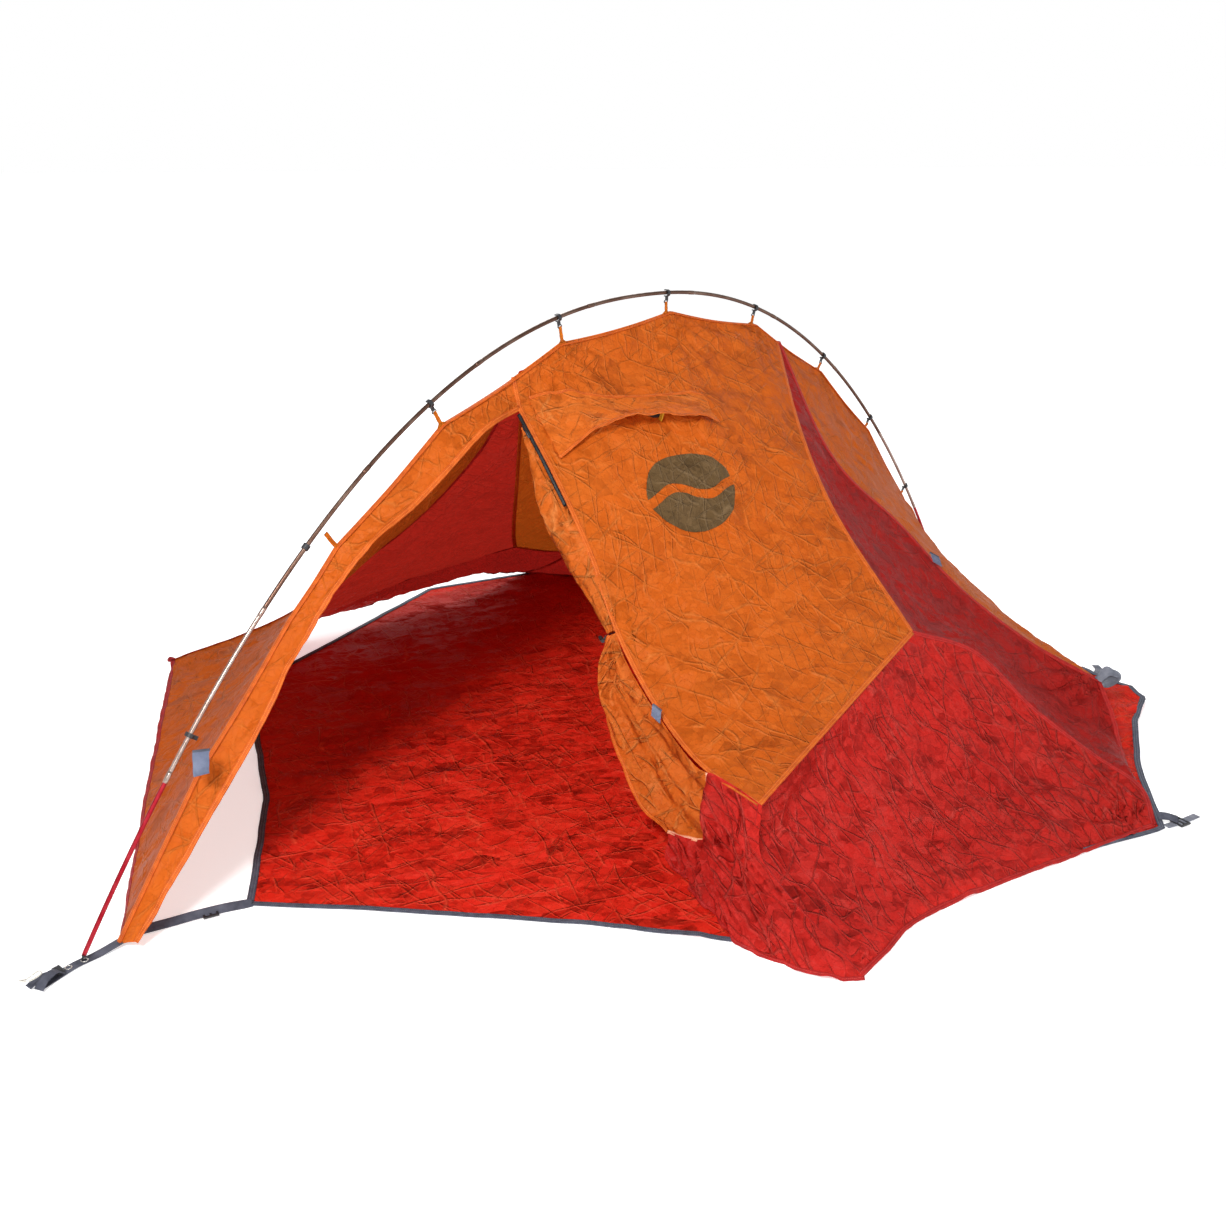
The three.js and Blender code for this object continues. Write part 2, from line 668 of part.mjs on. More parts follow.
function addHook(name, s) {
  const depth = CLIP.width;
  const body = new THREE.ExtrudeGeometry(hookOutline(), {
    depth,
    bevelEnabled: false,
    curveSegments: 8,
  });
  body.translate(0, 0, -depth / 2);
  const f = poleFrame(poleLength(s));
  const hook = add(name, body, LOOKS.black);
  hook.quaternion.setFromRotationMatrix(new THREE.Matrix4().makeBasis(f.side, f.out, f.along));
  hook.position.copy(f.at);
  return f;
}

/** Where the line from the pole square to it meets the ridge. */
function hangPoint(f) {
  const below = (reach) => f.at.clone().addScaledVector(f.out, -reach);
  const overRidge = (p) => p.z - ridgeHeight(p.dot(ALONG));
  let reach = CLIP.stemEnd;
  while (overRidge(below(reach)) > 0) reach += 0.1;
  return below(reach);
}

function buildClips() {
  CLIPS.forEach((s, k) => {
    const f = addHook(`pole_clip_${k + FIRST_CLIP}`, s);
    const top = f.at.clone().addScaledVector(f.out, -CLIP.stemEnd - LOOP.gap);
    const strap = straight([top.toArray(), hangPoint(f).toArray()], 1);
    const loop = ribbon(strap, LOOP.width, LOOP.thickness, ACROSS);
    add(`clip_loop_${k + FIRST_CLIP}`, loop, LOOKS.orange);
  });
  addHook("pole_clip_1", LOOSE_CLIP);
  const ring = new THREE.Shape().absarc(0, 0, RING.outer, 0, 2 * Math.PI, false);
  ring.holes.push(new THREE.Path().absarc(0, 0, RING.inner, 0, 2 * Math.PI, true));
  const body = new THREE.ExtrudeGeometry(ring, { depth: RING.width, bevelEnabled: false, curveSegments: 12 });
  body.translate(0, 0, -RING.width / 2);
  const f = poleFrame(poleLength(LOOSE_RING));
  const mesh = add("pole_clip_2", body, LOOKS.black);
  mesh.quaternion.setFromRotationMatrix(new THREE.Matrix4().makeBasis(f.side, f.out, f.along));
  mesh.position.copy(f.at);

  const root = vector(onPlane(LOOSE_TAB.from, ridgeHeight(LOOSE_TAB.from) + 1.5));
  const free = root.clone().addScaledVector(f.out, LOOSE_TAB.length);
  const tab = straight([root.toArray(), free.toArray()], 1);
  add("clip_loop_2", ribbon(tab, LOOP.width, LOOP.thickness, ACROSS), LOOKS.orange);
}

// ---- The groundsheet, webbing and buckles ----
const FLOOR_OUTLINE = [
  [-1050, -760], [-740, -862], [-350, -1007], [-90, -1130], [80, -1235], [340, -1085], [590, -990],
  [790, -975], [1022, -928], [1150, -650], [1295, -410], [1420, -270], [1375, -90], [1180, 250],
  [1090, 760], [700, 960], [60, 1336], [-463, 1200], [-862, 700], [-990, 550], [-1050, 100],
  [-1020, -290],
];

/** A strap that lies on the ground along plan points. */
const groundStrap = (points, width = WEBBING.width) =>
  ribbon(
    straight(points.map(([x, y]) => [x, y, LIFT + WEBBING.thickness / 2]), points.length - 1),
    width,
    WEBBING.thickness,
  );

/** A ladder-lock buckle: a frame with two slots, flat on its strap. */
function addBuckle(name, [x, y, z], heading) {
  const { length, width, thickness, bar, slots } = BUCKLE;
  const shape = new THREE.Shape();
  shape.moveTo(-length / 2, -width / 2);
  shape.lineTo(length / 2, -width / 2);
  shape.lineTo(length / 2, width / 2);
  shape.lineTo(-length / 2, width / 2);
  const slot = (length - bar * (slots + 1)) / slots;
  for (let k = 0; k < slots; k++) {
    const start = -length / 2 + bar + k * (slot + bar);
    const reach = width / 2 - bar - k; // the second slot is a little narrower
    const hole = new THREE.Path();
    hole.moveTo(start, -reach);
    hole.lineTo(start, reach);
    hole.lineTo(start + slot, reach);
    hole.lineTo(start + slot, -reach);
    shape.holes.push(hole);
  }
  const frame = new THREE.ExtrudeGeometry(shape, { depth: thickness, bevelEnabled: false });
  const buckle = add(name, frame, LOOKS.black);
  buckle.rotation.z = heading;
  buckle.position.set(x, y, z);
}

function buildGround() {
  const outline = new THREE.Shape(FLOOR_OUTLINE.map(([x, y]) => new THREE.Vector2(x, y)));
  add("groundsheet", new THREE.ExtrudeGeometry(outline, { depth: FLOOR, bevelEnabled: false }), LOOKS.floor);

  const strapTop = LIFT + WEBBING.thickness + 0.4;
  const foot = (side) => [side * (POLE.halfSpan + 100), side * (POLE.halfSpan - 40)];
  const flat = (s, off = 0) => onPlane(s, 0, off).slice(0, 2);
  const [outEnd, inEnd] = foot(-1);
  add("foot_webbing_near", groundStrap([flat(outEnd, -25), flat(-POLE.halfSpan - 20), flat(inEnd)]), LOOKS.grey);
  const [farOut, farIn] = foot(1);
  add("foot_webbing_far", groundStrap([flat(farOut), flat(farIn)]), LOOKS.grey);

  add("floor_strap_near", groundStrap([[-1262, -822], [-1160, -790], [-1062, -764]], 20), LOOKS.grey);
  addBuckle("ladder_lock_near", [-1130, -781, strapTop], 0.26);
  add("corner_webbing_right", groundStrap([[1036, -922], [1080, -915], [1140, -893]], 20), LOOKS.grey);
  addBuckle("ladder_lock_right", [1078, -916, strapTop], 0.3);
  add("end_peg_webbing", groundStrap([[1392, -60], [1440, -20], [1425, 55]], 22), LOOKS.grey);
}

function buildPatches() {
  const patch = (corners, name) => add(name, sheet(fillBorders(corners), 1.5), LOOKS.patch);
  const side = (a, b) => straight([a, b], 2);
  const onLeft = [[-1096, -802, 335], [-1128, -792, 325], [-1126, -774, 375], [-1092, -784, 380]];
  patch(
    {
      top: side(onLeft[2], onLeft[3]),
      bottom: side(onLeft[1], onLeft[0]),
      left: side(onLeft[2], onLeft[1]),
      right: side(onLeft[3], onLeft[0]),
    },
    "guy_patch_left",
  );
  const onRight = [[786, -122, 452], [812, -128, 437], [818, -140, 412], [792, -134, 427]];
  patch(
    {
      top: side(onRight[0], onRight[1]),
      bottom: side(onRight[3], onRight[2]),
      left: side(onRight[0], onRight[3]),
      right: side(onRight[1], onRight[2]),
    },
    "guy_patch_right",
  );
}

buildPole();
buildFly();
buildFarDoor();
buildRolledDoor();
buildVent();
buildClips();
buildGround();
buildPatches();

export default tent;
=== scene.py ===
import json
import math

import bmesh
import bpy
import numpy as np
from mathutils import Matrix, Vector, noise


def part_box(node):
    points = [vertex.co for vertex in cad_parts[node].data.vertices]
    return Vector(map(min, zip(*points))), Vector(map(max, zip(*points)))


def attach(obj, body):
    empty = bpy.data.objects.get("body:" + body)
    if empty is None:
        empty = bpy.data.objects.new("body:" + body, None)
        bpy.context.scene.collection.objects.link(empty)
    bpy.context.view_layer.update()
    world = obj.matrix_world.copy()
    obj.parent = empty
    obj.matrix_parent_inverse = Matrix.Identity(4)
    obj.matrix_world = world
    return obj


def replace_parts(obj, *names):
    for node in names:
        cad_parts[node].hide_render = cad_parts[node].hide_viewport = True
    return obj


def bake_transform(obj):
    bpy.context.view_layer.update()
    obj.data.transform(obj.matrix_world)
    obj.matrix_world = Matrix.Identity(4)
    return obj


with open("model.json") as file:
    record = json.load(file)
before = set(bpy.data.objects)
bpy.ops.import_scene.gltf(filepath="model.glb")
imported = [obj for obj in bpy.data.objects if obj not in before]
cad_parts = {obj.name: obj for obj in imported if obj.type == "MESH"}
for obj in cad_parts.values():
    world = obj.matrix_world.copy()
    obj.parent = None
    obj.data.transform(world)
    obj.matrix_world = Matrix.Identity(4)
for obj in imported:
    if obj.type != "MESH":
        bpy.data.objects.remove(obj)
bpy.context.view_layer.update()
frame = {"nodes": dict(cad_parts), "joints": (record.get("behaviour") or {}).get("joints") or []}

# ---- Driving sizes, in metres ----
AZIMUTH = math.radians(33.35)
ALONG = np.array([math.cos(AZIMUTH), math.sin(AZIMUTH), 0.0])
ACROSS = np.array([-ALONG[1], ALONG[0], 0.0])
UP = np.array([0.0, 0.0, 1.0])
HALF_SPAN, POLE_TOP, FOOT_TOP, POWER = 1.63, 1.15, 0.015, 2.2
POLE_RADIUS, SECTIONS, SECTION_STEPS = 0.0048, 11, 60
HEM = 0.006
SEAM_WIDTH, TRIM_WIDTH, SEAM_RISE = 0.013, 0.009, 0.0012
COARSE_RISE, COARSE_SCALE = 0.0105, 7.5  # big facets of the crumpled cloth
FINE_RISE, FINE_SCALE = 0.0058, 17  # small ones
LONG_RISE = 0.0062  # long soft folds
FACET_MEAN = 0.28
HELD_EDGE, LOOSE_EDGE = 0.035, 0.06  # how far in a sewn border flattens the folds, and a free one ripples
GROUND_GAP = 0.004


# ---- Lines and grids ----
def spaced(line, n):
    """n + 1 points evenly spaced along a broken line."""
    line = np.array(line, float)
    step = np.linalg.norm(np.diff(line, axis=0), axis=1)
    run = np.concatenate([[0], np.cumsum(step)])
    at = np.linspace(0, run[-1], n + 1)
    return np.stack([np.interp(at, run, line[:, k]) for k in range(3)], axis=1)


def smooth(points, n):
    """n + 1 points evenly spaced along a smooth curve through points."""
    p = np.array(points, float)
    p = np.vstack([2 * p[0] - p[1], p, 2 * p[-1] - p[-2]])
    t = np.concatenate([[0], np.cumsum(np.linalg.norm(np.diff(p, axis=0), axis=1) ** 0.5)])
    fine = []
    for k in range(1, len(p) - 2):
        s = np.linspace(t[k], t[k + 1], 24, endpoint=False)[:, None]

        def mixed(a, b, ta, tb, s=s):
            return ((tb - s) * a + (s - ta) * b) / (tb - ta)

        a = [mixed(p[k - 1 + i], p[k + i], t[k - 1 + i], t[k + i]) for i in range(3)]
        b = [mixed(a[i], a[i + 1], t[k - 1 + i], t[k + 1 + i]) for i in range(2)]
        fine.append(mixed(b[0], b[1], t[k], t[k + 1]))
    return spaced(np.vstack([*fine, p[-2:-1]]), n)


def joined(*lines):
    return np.vstack([lines[0], *[line[1:] for line in lines[1:]]])


def turned(points):
    return np.array(points, float) * [-1, -1, 1]


def on_plane(s, z, off=0.0):
    return ALONG * s + ACROSS * off + UP * z


def fill(top, bottom, left, right):
    """A grid of points between four border lines: rows from top to bottom."""
    u = np.linspace(0, 1, len(top))[None, :, None]
    v = np.linspace(0, 1, len(left))[:, None, None]
    down = (1 - v) * top[None] + v * bottom[None]
    across = (1 - u) * left[:, None] + u * right[:, None]
    corners = (1 - v) * ((1 - u) * top[0] + u * top[-1]) + v * ((1 - u) * bottom[0] + u * bottom[-1])
    return down + across - corners


def unit(v):
    return v / np.maximum(np.linalg.norm(v, axis=-1, keepdims=True), 1e-9)


def grid_normals(grid, inside=(0.0, 0.0, 0.2)):
    """Normals of a grid, turned away from a point inside the tent."""
    n = unit(np.cross(np.gradient(grid, axis=1), np.gradient(grid, axis=0)))
    return n if np.sum(n * (grid - np.array(inside))) > 0 else -n


def lengths(grid):
    """Distance of each point of a grid from its left and its top border, in metres."""
    du = np.linalg.norm(np.diff(grid, axis=1), axis=2)
    dv = np.linalg.norm(np.diff(grid, axis=0), axis=2)
    u = np.concatenate([np.zeros((len(grid), 1)), np.cumsum(du, axis=1)], axis=1)
    v = np.concatenate([np.zeros((1, grid.shape[1])), np.cumsum(dv, axis=0)], axis=0)
    return u, v


def ease(x):
    x = np.clip(x, 0, 1)
    return x * x * (3 - 2 * x)


# ---- Folds of the cloth ----
def crumple(points, scale, seed):
    """Flat facets with sharp edges between them, like nylon that has been packed: from 0 to about 0.5."""
    out = []
    for x, y, z in points.reshape(-1, 3) * scale:
        wave = noise.noise_vector((x * 0.4 + seed, y * 0.4, z * 0.4)) * 0.6
        near = noise.voronoi((x + wave[0], y + wave[1], z + wave[2] + seed))[0]
        out.append(near[1] - near[0])
    return np.array(out).reshape(points.shape[:-1])


def streaks(u, v, per_u, per_v, seed):
    """Long soft folds, from -1 to 1, with so many waves to the metre each way."""
    flat = np.stack([u * per_u, v * per_v], axis=-1).reshape(-1, 2)
    out = [noise.fractal((a, b, seed), 0.8, 2.1, 3) for a, b in flat]
    return np.array(out).reshape(u.shape)


def rays(grid, normal, centre, reach, height, count, seed):
    """Folds that spread from a point where the cloth is pulled."""
    away = grid - np.array(centre)
    axis = unit(normal.mean(axis=(0, 1)))
    first = unit(np.cross(axis, [0.3, 0.2, 0.93]))
    second = np.cross(axis, first)
    angle = np.arctan2(away @ second, away @ first)
    r = np.linalg.norm(away, axis=2)
    wobble = streaks(r, angle, 5, 1.2, seed) * 1.5
    return height * np.exp(-r / reach) * (1 - np.exp(-r / 0.03)) * np.sin(count * angle + wobble + seed)


def cloth(grid, seed, held=(1, 1, 1, 1), size=1.0, long=(3, 9), pulls=(), ripple=0.0):
    """The grid with its folds. held says which of the top, bottom, left and right borders stay put."""
    n = grid_normals(grid)
    u, v = lengths(grid)
    width, height = u[:, -1:], v[-1:, :]
    coarse = COARSE_RISE * (crumple(grid, COARSE_SCALE, seed) - FACET_MEAN)
    fine = FINE_RISE * (crumple(grid, FINE_SCALE, seed + 9) - FACET_MEAN)
    rise = (coarse + fine) * size + LONG_RISE * size * streaks(u, v, *long, seed)
    for centre, reach, strength, count in pulls:
        rise = rise + rays(grid, n, centre, reach, strength, count, seed + len(pulls))
    room = [v, height - v, u, width - u]
    for keep, gap in zip(held, room):
        if keep:
            rise = rise * ease(gap / HELD_EDGE)
        elif ripple:
            rise = rise + ripple * np.exp(-gap / LOOSE_EDGE) * streaks(u + v, 0 * u, 9, 1, seed + 4)
    out = grid + n * rise[..., None]
    out[..., 2] = np.maximum(out[..., 2], np.minimum(grid[..., 2], GROUND_GAP))
    return out


# ---- Meshes ----
def mesh_object(name, verts, faces, uv=None, flat=False):
    mesh = bpy.data.meshes.new(name)
    mesh.from_pydata([tuple(p) for p in verts], [], faces)
    mesh.update()
    if uv is not None:
        layer = mesh.uv_layers.new(name="UVMap")
        loops = np.zeros(len(mesh.loops), int)
        mesh.loops.foreach_get("vertex_index", loops)
        layer.data.foreach_set("uv", np.asarray(uv, np.float32)[loops].ravel())
    mesh.polygons.foreach_set("use_smooth", [not flat] * len(mesh.polygons))
    obj = bpy.data.objects.new(name, mesh)
    bpy.context.scene.collection.objects.link(obj)
    return obj


def grid_object(name, grid, closed=False):
    """A mesh over a grid. closed joins the last column to the first."""
    rows, cols = grid.shape[:2]
    u, v = lengths(grid)
    span = cols if closed else cols - 1
    faces = []
    for j in range(rows - 1):
        for i in range(span):
            a, b = j * cols + i, j * cols + (i + 1) % cols
            faces.append((a, b, b + cols, a + cols))
    uv = np.stack([u, v], axis=-1).reshape(-1, 2)
    return mesh_object(name, grid.reshape(-1, 3), faces, uv)


def tube_object(name, line, radii, sides=16, caps=True):
    """A round tube along a line, with a radius at each point."""
    line = np.array(line, float)
    along = unit(np.gradient(line, axis=0))
    start = ACROSS if abs(along[0] @ ACROSS) < 0.9 else UP
    side = np.array([unit(start - t * (start @ t)) for t in along])
    up = np.cross(side, along)
    a = np.linspace(0, 2 * math.pi, sides, endpoint=False)
    ring = np.cos(a)[None, :, None] * side[:, None] + np.sin(a)[None, :, None] * up[:, None]
    grid = line[:, None] + ring * np.array(radii, float)[:, None, None]
    obj = grid_object(name, grid, closed=True)
    if caps:
        close_ends(obj, len(line), sides)
    return obj


def close_ends(obj, rows, sides):
    work = bmesh.new()
    work.from_mesh(obj.data)
    work.verts.ensure_lookup_table()
    work.faces.new([work.verts[k] for k in range(sides)][::-1])
    work.faces.new([work.verts[(rows - 1) * sides + k] for k in range(sides)])
    bmesh.ops.recalc_face_normals(work, faces=work.faces)
    work.to_mesh(obj.data)
    work.free()
    obj.data.polygons.foreach_set("use_smooth", [len(p.vertices) == 4 for p in obj.data.polygons])


def strip_object(name, line, normal, width, rise, lift=0.0):
    """A flat strip with a rounded top that follows a line on a surface."""
    line = np.array(line, float)
    normal = np.broadcast_to(np.array(normal, float), line.shape)
    along = unit(np.gradient(line, axis=0))
    side = unit(np.cross(along, normal))
    face = np.cross(side, along)
    across = [(-0.5, 0), (-0.44, 0.7), (-0.2, 1), (0, 0.82), (0.2, 1), (0.44, 0.7), (0.5, 0)]
    rows = [line + side * width * w + face * (rise * h + lift) for w, h in across]
    under = [line - side * width * w - face * (rise * 0.7 - lift) for w in (-0.46, 0, 0.46)]
    obj = grid_object(name, np.stack([*rows, *under], axis=1), closed=True)
    close_ends(obj, len(line), len(across) + 3)
    return obj


# ---- Materials ----
MIDDLE = (0.5, 0.5, 0.5)


def linear(*colours):
    """sRGB colours of 0 to 255 as linear ones."""
    return [(*(((c / 255 + 0.055) / 1.055) ** 2.4 for c in colour), 1) for colour in colours]


class Look:
    """A node material that is built up step by step."""

    def __init__(self, name, roughness, metallic=0.0, **fixed):
        self.material = bpy.data.materials.new(name)
        self.material.use_nodes = True
        self.tree = self.material.node_tree
        self.shader = self.tree.nodes["Principled BSDF"]
        self.out = self.tree.nodes["Material Output"]
        self.shader.inputs["Roughness"].default_value = roughness
        self.shader.inputs["Metallic"].default_value = metallic
        for socket, value in fixed.items():
            self.shader.inputs[socket.replace("_", " ")].default_value = value
        self.place = self.node("ShaderNodeTexCoord").outputs["Object"]
        self.uv = self.node("ShaderNodeTexCoord").outputs["UV"]

    def node(self, kind, sockets=None, **settings):
        """Adds a node with its settings and with plain values on some of its sockets."""
        made = self.tree.nodes.new(kind)
        for key, value in settings.items():
            setattr(made, key, value)
        for key, value in (sockets or {}).items():
            made.inputs[key].default_value = value
        return made

    def link(self, a, b):
        self.tree.links.new(a, b)

    def feed(self, sockets, values):
        """Links each value that comes from a node to its socket and sets the plain ones on theirs."""
        for socket, value in zip(sockets, values):
            if hasattr(value, "node"):
                self.link(value, socket)
            else:
                socket.default_value = value

    def math(self, operation, a, b=0.0, c=0.0):
        n = self.node("ShaderNodeMath", operation=operation)
        self.feed(n.inputs, (a, b, c))
        return n.outputs[0]

    def noise(self, scale, detail=3.0, rough=0.55, at=None):
        n = self.node("ShaderNodeTexNoise", {"Scale": scale, "Detail": detail, "Roughness": rough})
        self.link(at or self.place, n.inputs["Vector"])
        return n

    def stretched(self, scale, turn=(0, 0, 0), at=None):
        n = self.node("ShaderNodeMapping", {"Scale": scale, "Rotation": turn})
        self.link(at or self.place, n.inputs["Vector"])
        return n.outputs[0]

    def warped(self, scale, amount):
        wave = self.noise(scale, 2.0).outputs["Color"]
        centred = self.vector("SUBTRACT", wave, MIDDLE).outputs[0]
        moved = self.vector("MULTIPLY", centred, (amount, amount, amount)).outputs[0]
        return self.vector("ADD", self.place, moved).outputs[0]

    def facets(self, scale, at):
        n = self.node("ShaderNodeTexVoronoi", {"Scale": scale}, feature="DISTANCE_TO_EDGE")
        self.link(at, n.inputs["Vector"])
        return n.outputs["Distance"]

    def vector(self, operation, a, b):
        n = self.node("ShaderNodeVectorMath", operation=operation)
        self.feed(n.inputs, (a, b))
        return n

    def split(self, value):
        parts = self.node("ShaderNodeSeparateXYZ")
        self.link(value, parts.inputs[0])
        return parts.outputs

    def cells(self, scale, at):
        """Flat facets, each with its own tilt: their height in metres, and a number for each facet."""
        n = self.node("ShaderNodeTexVoronoi", {"Scale": scale})
        self.link(at, n.inputs["Vector"])
        away = self.vector("SUBTRACT", at, n.outputs["Position"]).outputs[0]
        tilt = self.vector("SUBTRACT", n.outputs["Color"], MIDDLE).outputs[0]
        return self.vector("DOT_PRODUCT", away, tilt).outputs["Value"], self.split(n.outputs["Color"])["X"]

    def creases(self, at, pitch, width, number):
        """Straight packing creases that come and go: 1 on the line, 0 from its width on."""
        found = None
        for k in range(number):
            way = noise.random_unit_vector()
            moved = self.vector("ADD", at, (k, 2 * k, 0.5 * k)).outputs[0]
            bend = self.noise(2.5 + 0.7 * k, 2, at=moved).outputs["Fac"]
            run = self.vector("DOT_PRODUCT", at, tuple(way)).outputs["Value"]
            run = self.math("MULTIPLY_ADD", bend, pitch * 1.6, run)
            line = self.ramp(self.math("PINGPONG", run, pitch * (0.4 + 0.06 * k)), 0.0, width, 1, 0)
            moved = self.vector("ADD", at, (2 * k, 0.3, k + 1)).outputs[0]
            part = self.noise(7 + 1.5 * k, 2, at=moved).outputs["Fac"]
            line = self.math("MULTIPLY", line, self.ramp(part, 0.47, 0.58))
            found = line if found is None else self.math("MAXIMUM", found, line)
        return found

    def ramp(self, value, low, high, out_low=0.0, out_high=1.0):
        n = self.node("ShaderNodeMapRange")
        self.feed(n.inputs, (value, low, high, out_low, out_high))
        return n.outputs[0]

    def mix(self, factor, a, b):
        n = self.node("ShaderNodeMix", data_type="RGBA")
        self.feed((n.inputs[0], n.inputs[6], n.inputs[7]), (factor, a, b))
        return n.outputs[2]

    def colour(self, value):
        self.link(value, self.shader.inputs["Base Color"])

    def rough(self, value, low, high):
        self.link(self.ramp(value, 0.3, 0.7, low, high), self.shader.inputs["Roughness"])

    def bump(self, height, distance, strength=1.0):
        n = self.node("ShaderNodeBump", {"Distance": distance, "Strength": strength})
        self.link(height, n.inputs["Height"])
        self.link(n.outputs[0], self.shader.inputs["Normal"])

    def let_light_through(self, share, colour):
        glow = self.node("ShaderNodeBsdfTranslucent", {"Color": colour})
        both = self.node("ShaderNodeMixShader", {0: share})
        self.link(self.shader.outputs[0], both.inputs[1])
        self.link(glow.outputs[0], both.inputs[2])
        self.link(both.outputs[0], self.out.inputs["Surface"])


def nylon(name, base, highlight_and_wear, deep, through=0.27, crease=1.0, roughness=(0.44, 0.6)):
    """Coated nylon that has been packed: tilted facets of three sizes and sharp creases across them. Its
    colour holds painted shade and painted highlights on the facets, and painted highlights along the creases.
    """
    look = Look(name, 0.5, Specular_IOR_Level=0.08)
    base, highlight_and_wear, deep = linear(base, highlight_and_wear, deep)
    at = look.warped(7, 0.06)
    drawn = look.stretched((1, 2.3, 1.2), (0.3, 0.5, 0.6), at)
    middle, shade = look.cells(25, at)
    long, tint = look.cells(15, drawn)
    small, small_facet_light = look.cells(70, look.warped(28, 0.02))
    noise.seed_set(len(name))
    coarse = look.creases(look.place, 0.075, 0.0032, 5)
    fine = look.creases(look.place, 0.036, 0.0022, 4)
    tone = look.noise(2.4, 4, 0.6).outputs["Fac"]
    colour = look.mix(look.ramp(tone, 0.3, 0.7, 0.6, 1), deep, base)
    # Painted shade and painted highlights: each facet's own random number darkens it a little or lightens it
    # towards the highlight colour, standing in for the light on its tilt.
    for value, low, most, other in ((shade, 0, 0.1, deep), (tint, 0.4, 0.08, highlight_and_wear), (small_facet_light, 0.5, 0.08, highlight_and_wear)):
        colour = look.mix(look.ramp(value, low, 1, 0, most), colour, other)
    # Painted highlights along the crease lines, with some real wear on the folds: the lines are lightened
    # towards the highlight colour.
    for line, share in ((coarse, 0.42), (fine, 0.26)):
        colour = look.mix(look.math("MULTIPLY", line, share), colour, highlight_and_wear)
    speckle = look.noise(900, 1, 0.5).outputs["Fac"]
    colour = look.mix(look.ramp(speckle, 0.35, 0.65, 0.0, 0.12), colour, deep)
    look.colour(colour)
    look.rough(look.noise(9, 3).outputs["Fac"], *roughness)
    height = look.math("MULTIPLY", middle, 0.24)
    for part, share in ((long, 0.3), (small, 0.36), (coarse, 0.0032), (fine, 0.0022), (speckle, 0.0001)):
        height = look.math("MULTIPLY_ADD", part, share, height)
    look.bump(height, crease)
    if through:
        look.let_light_through(through, base)
    return look.material


def stitched(name, base, thread, deep):
    """A sewn seam or binding: two rows of stitches along it. It reads the strip's own lengthwise UV."""
    look = Look(name, 0.6, Specular_IOR_Level=0.18)
    base, thread, deep = linear(base, thread, deep)
    across = look.split(look.uv)
    run, side = across["Y"], across["X"]
    dash = look.math("GREATER_THAN", look.math("SINE", look.math("MULTIPLY", run, 1600.0)), -0.35)
    row_a = look.math("COMPARE", side, 0.0045, 0.0006)
    row_b = look.math("COMPARE", side, 0.0105, 0.0006)
    rows = look.math("MULTIPLY", look.math("MAXIMUM", row_a, row_b), dash)
    tone = look.noise(60, 3).outputs["Fac"]
    colour = look.mix(look.ramp(tone, 0.3, 0.7), deep, base)
    look.colour(look.mix(rows, colour, thread))
    look.rough(tone, 0.5, 0.7)
    pucker = look.noise(260, 2, at=look.uv).outputs["Fac"]
    look.bump(look.math("SUBTRACT", pucker, look.math("MULTIPLY", rows, 0.7)), 0.0009)
    return look.material


def webbing(name, base, deep):
    """Woven tape: a fine chevron along its length."""
    look = Look(name, 0.75, Specular_IOR_Level=0.2)
    base, deep = linear(base, deep)
    across = look.split(look.uv)
    zig = look.math("PINGPONG", across["X"], 0.0025)
    weave = look.math("SINE", look.math("MULTIPLY", look.math("ADD", across["Y"], zig), 3800.0))
    tone = look.noise(35, 4).outputs["Fac"]
    colour = look.mix(look.ramp(tone, 0.3, 0.7), deep, base)
    look.colour(look.mix(look.ramp(weave, -1, 1, 0, 0.35), colour, deep))
    look.rough(tone, 0.65, 0.85)
    look.bump(weave, 0.0004)
    return look.material


def anodised(name, base, bright, roughness):
    """Anodised tube: fine scratches round it and rubbed bright patches."""
    look = Look(name, roughness, 0.92)
    base, bright = linear(base, bright)
    scratch = look.noise(240, 4, 0.7, look.stretched((1, 1, 0.12))).outputs["Fac"]
    patch = look.noise(14, 4, 0.6).outputs["Fac"]
    look.colour(look.mix(look.ramp(patch, 0.45, 0.72, 0, 0.55), base, bright))
    look.rough(scratch, roughness - 0.09, roughness + 0.13)
    look.bump(scratch, 0.0002, 0.6)
    return look.material


def plastic(name, base, deep, roughness=0.42):
    """Moulded plastic with a fine grain and a tone that varies at random."""
    look = Look(name, roughness, Specular_IOR_Level=0.5)
    base, deep = linear(base, deep)
    tone = look.noise(45, 4).outputs["Fac"]
    grain = look.noise(1400, 2).outputs["Fac"]
    look.colour(look.mix(look.ramp(tone, 0.35, 0.65), deep, base))
    look.rough(tone, roughness - 0.08, roughness + 0.16)
    look.bump(grain, 0.0002, 0.7)
    return look.material


def braided(name, base, deep):
    look = Look(name, 0.8, Sheen_Weight=0.15)
    base, deep = linear(base, deep)
    strand = look.facets(620, look.stretched((1, 1, 0.5)))
    look.colour(look.mix(look.ramp(strand, 0.0, 0.25), deep, base))
    look.rough(look.noise(90, 2).outputs["Fac"], 0.7, 0.88)
    look.bump(strand, 0.0006)
    return look.material


ORANGE = nylon("orange_nylon", (204, 98, 26), (226, 134, 62), (178, 76, 16))
# Painted shade: a darker copy of the orange nylon for the left end panel, which stands in shadow.
SHADE = nylon("orange_nylon_end", (174, 78, 20), (204, 114, 50), (146, 58, 12), 0.22, 1.3)
# Painted light: a lighter copy of the orange nylon for the door roll and its tail, where the light falls on
# them.
TAIL = nylon("orange_nylon_lit", (208, 102, 32), (236, 158, 88), (182, 78, 20), 0.27, 1.6)
RED = nylon("red_nylon", (198, 40, 33), (212, 88, 78), (158, 24, 22), 0.27, 1.9)
THIN_RED = nylon("thin_red_nylon", (190, 43, 32), (208, 80, 66), (152, 25, 21), 0.42, 1.8)
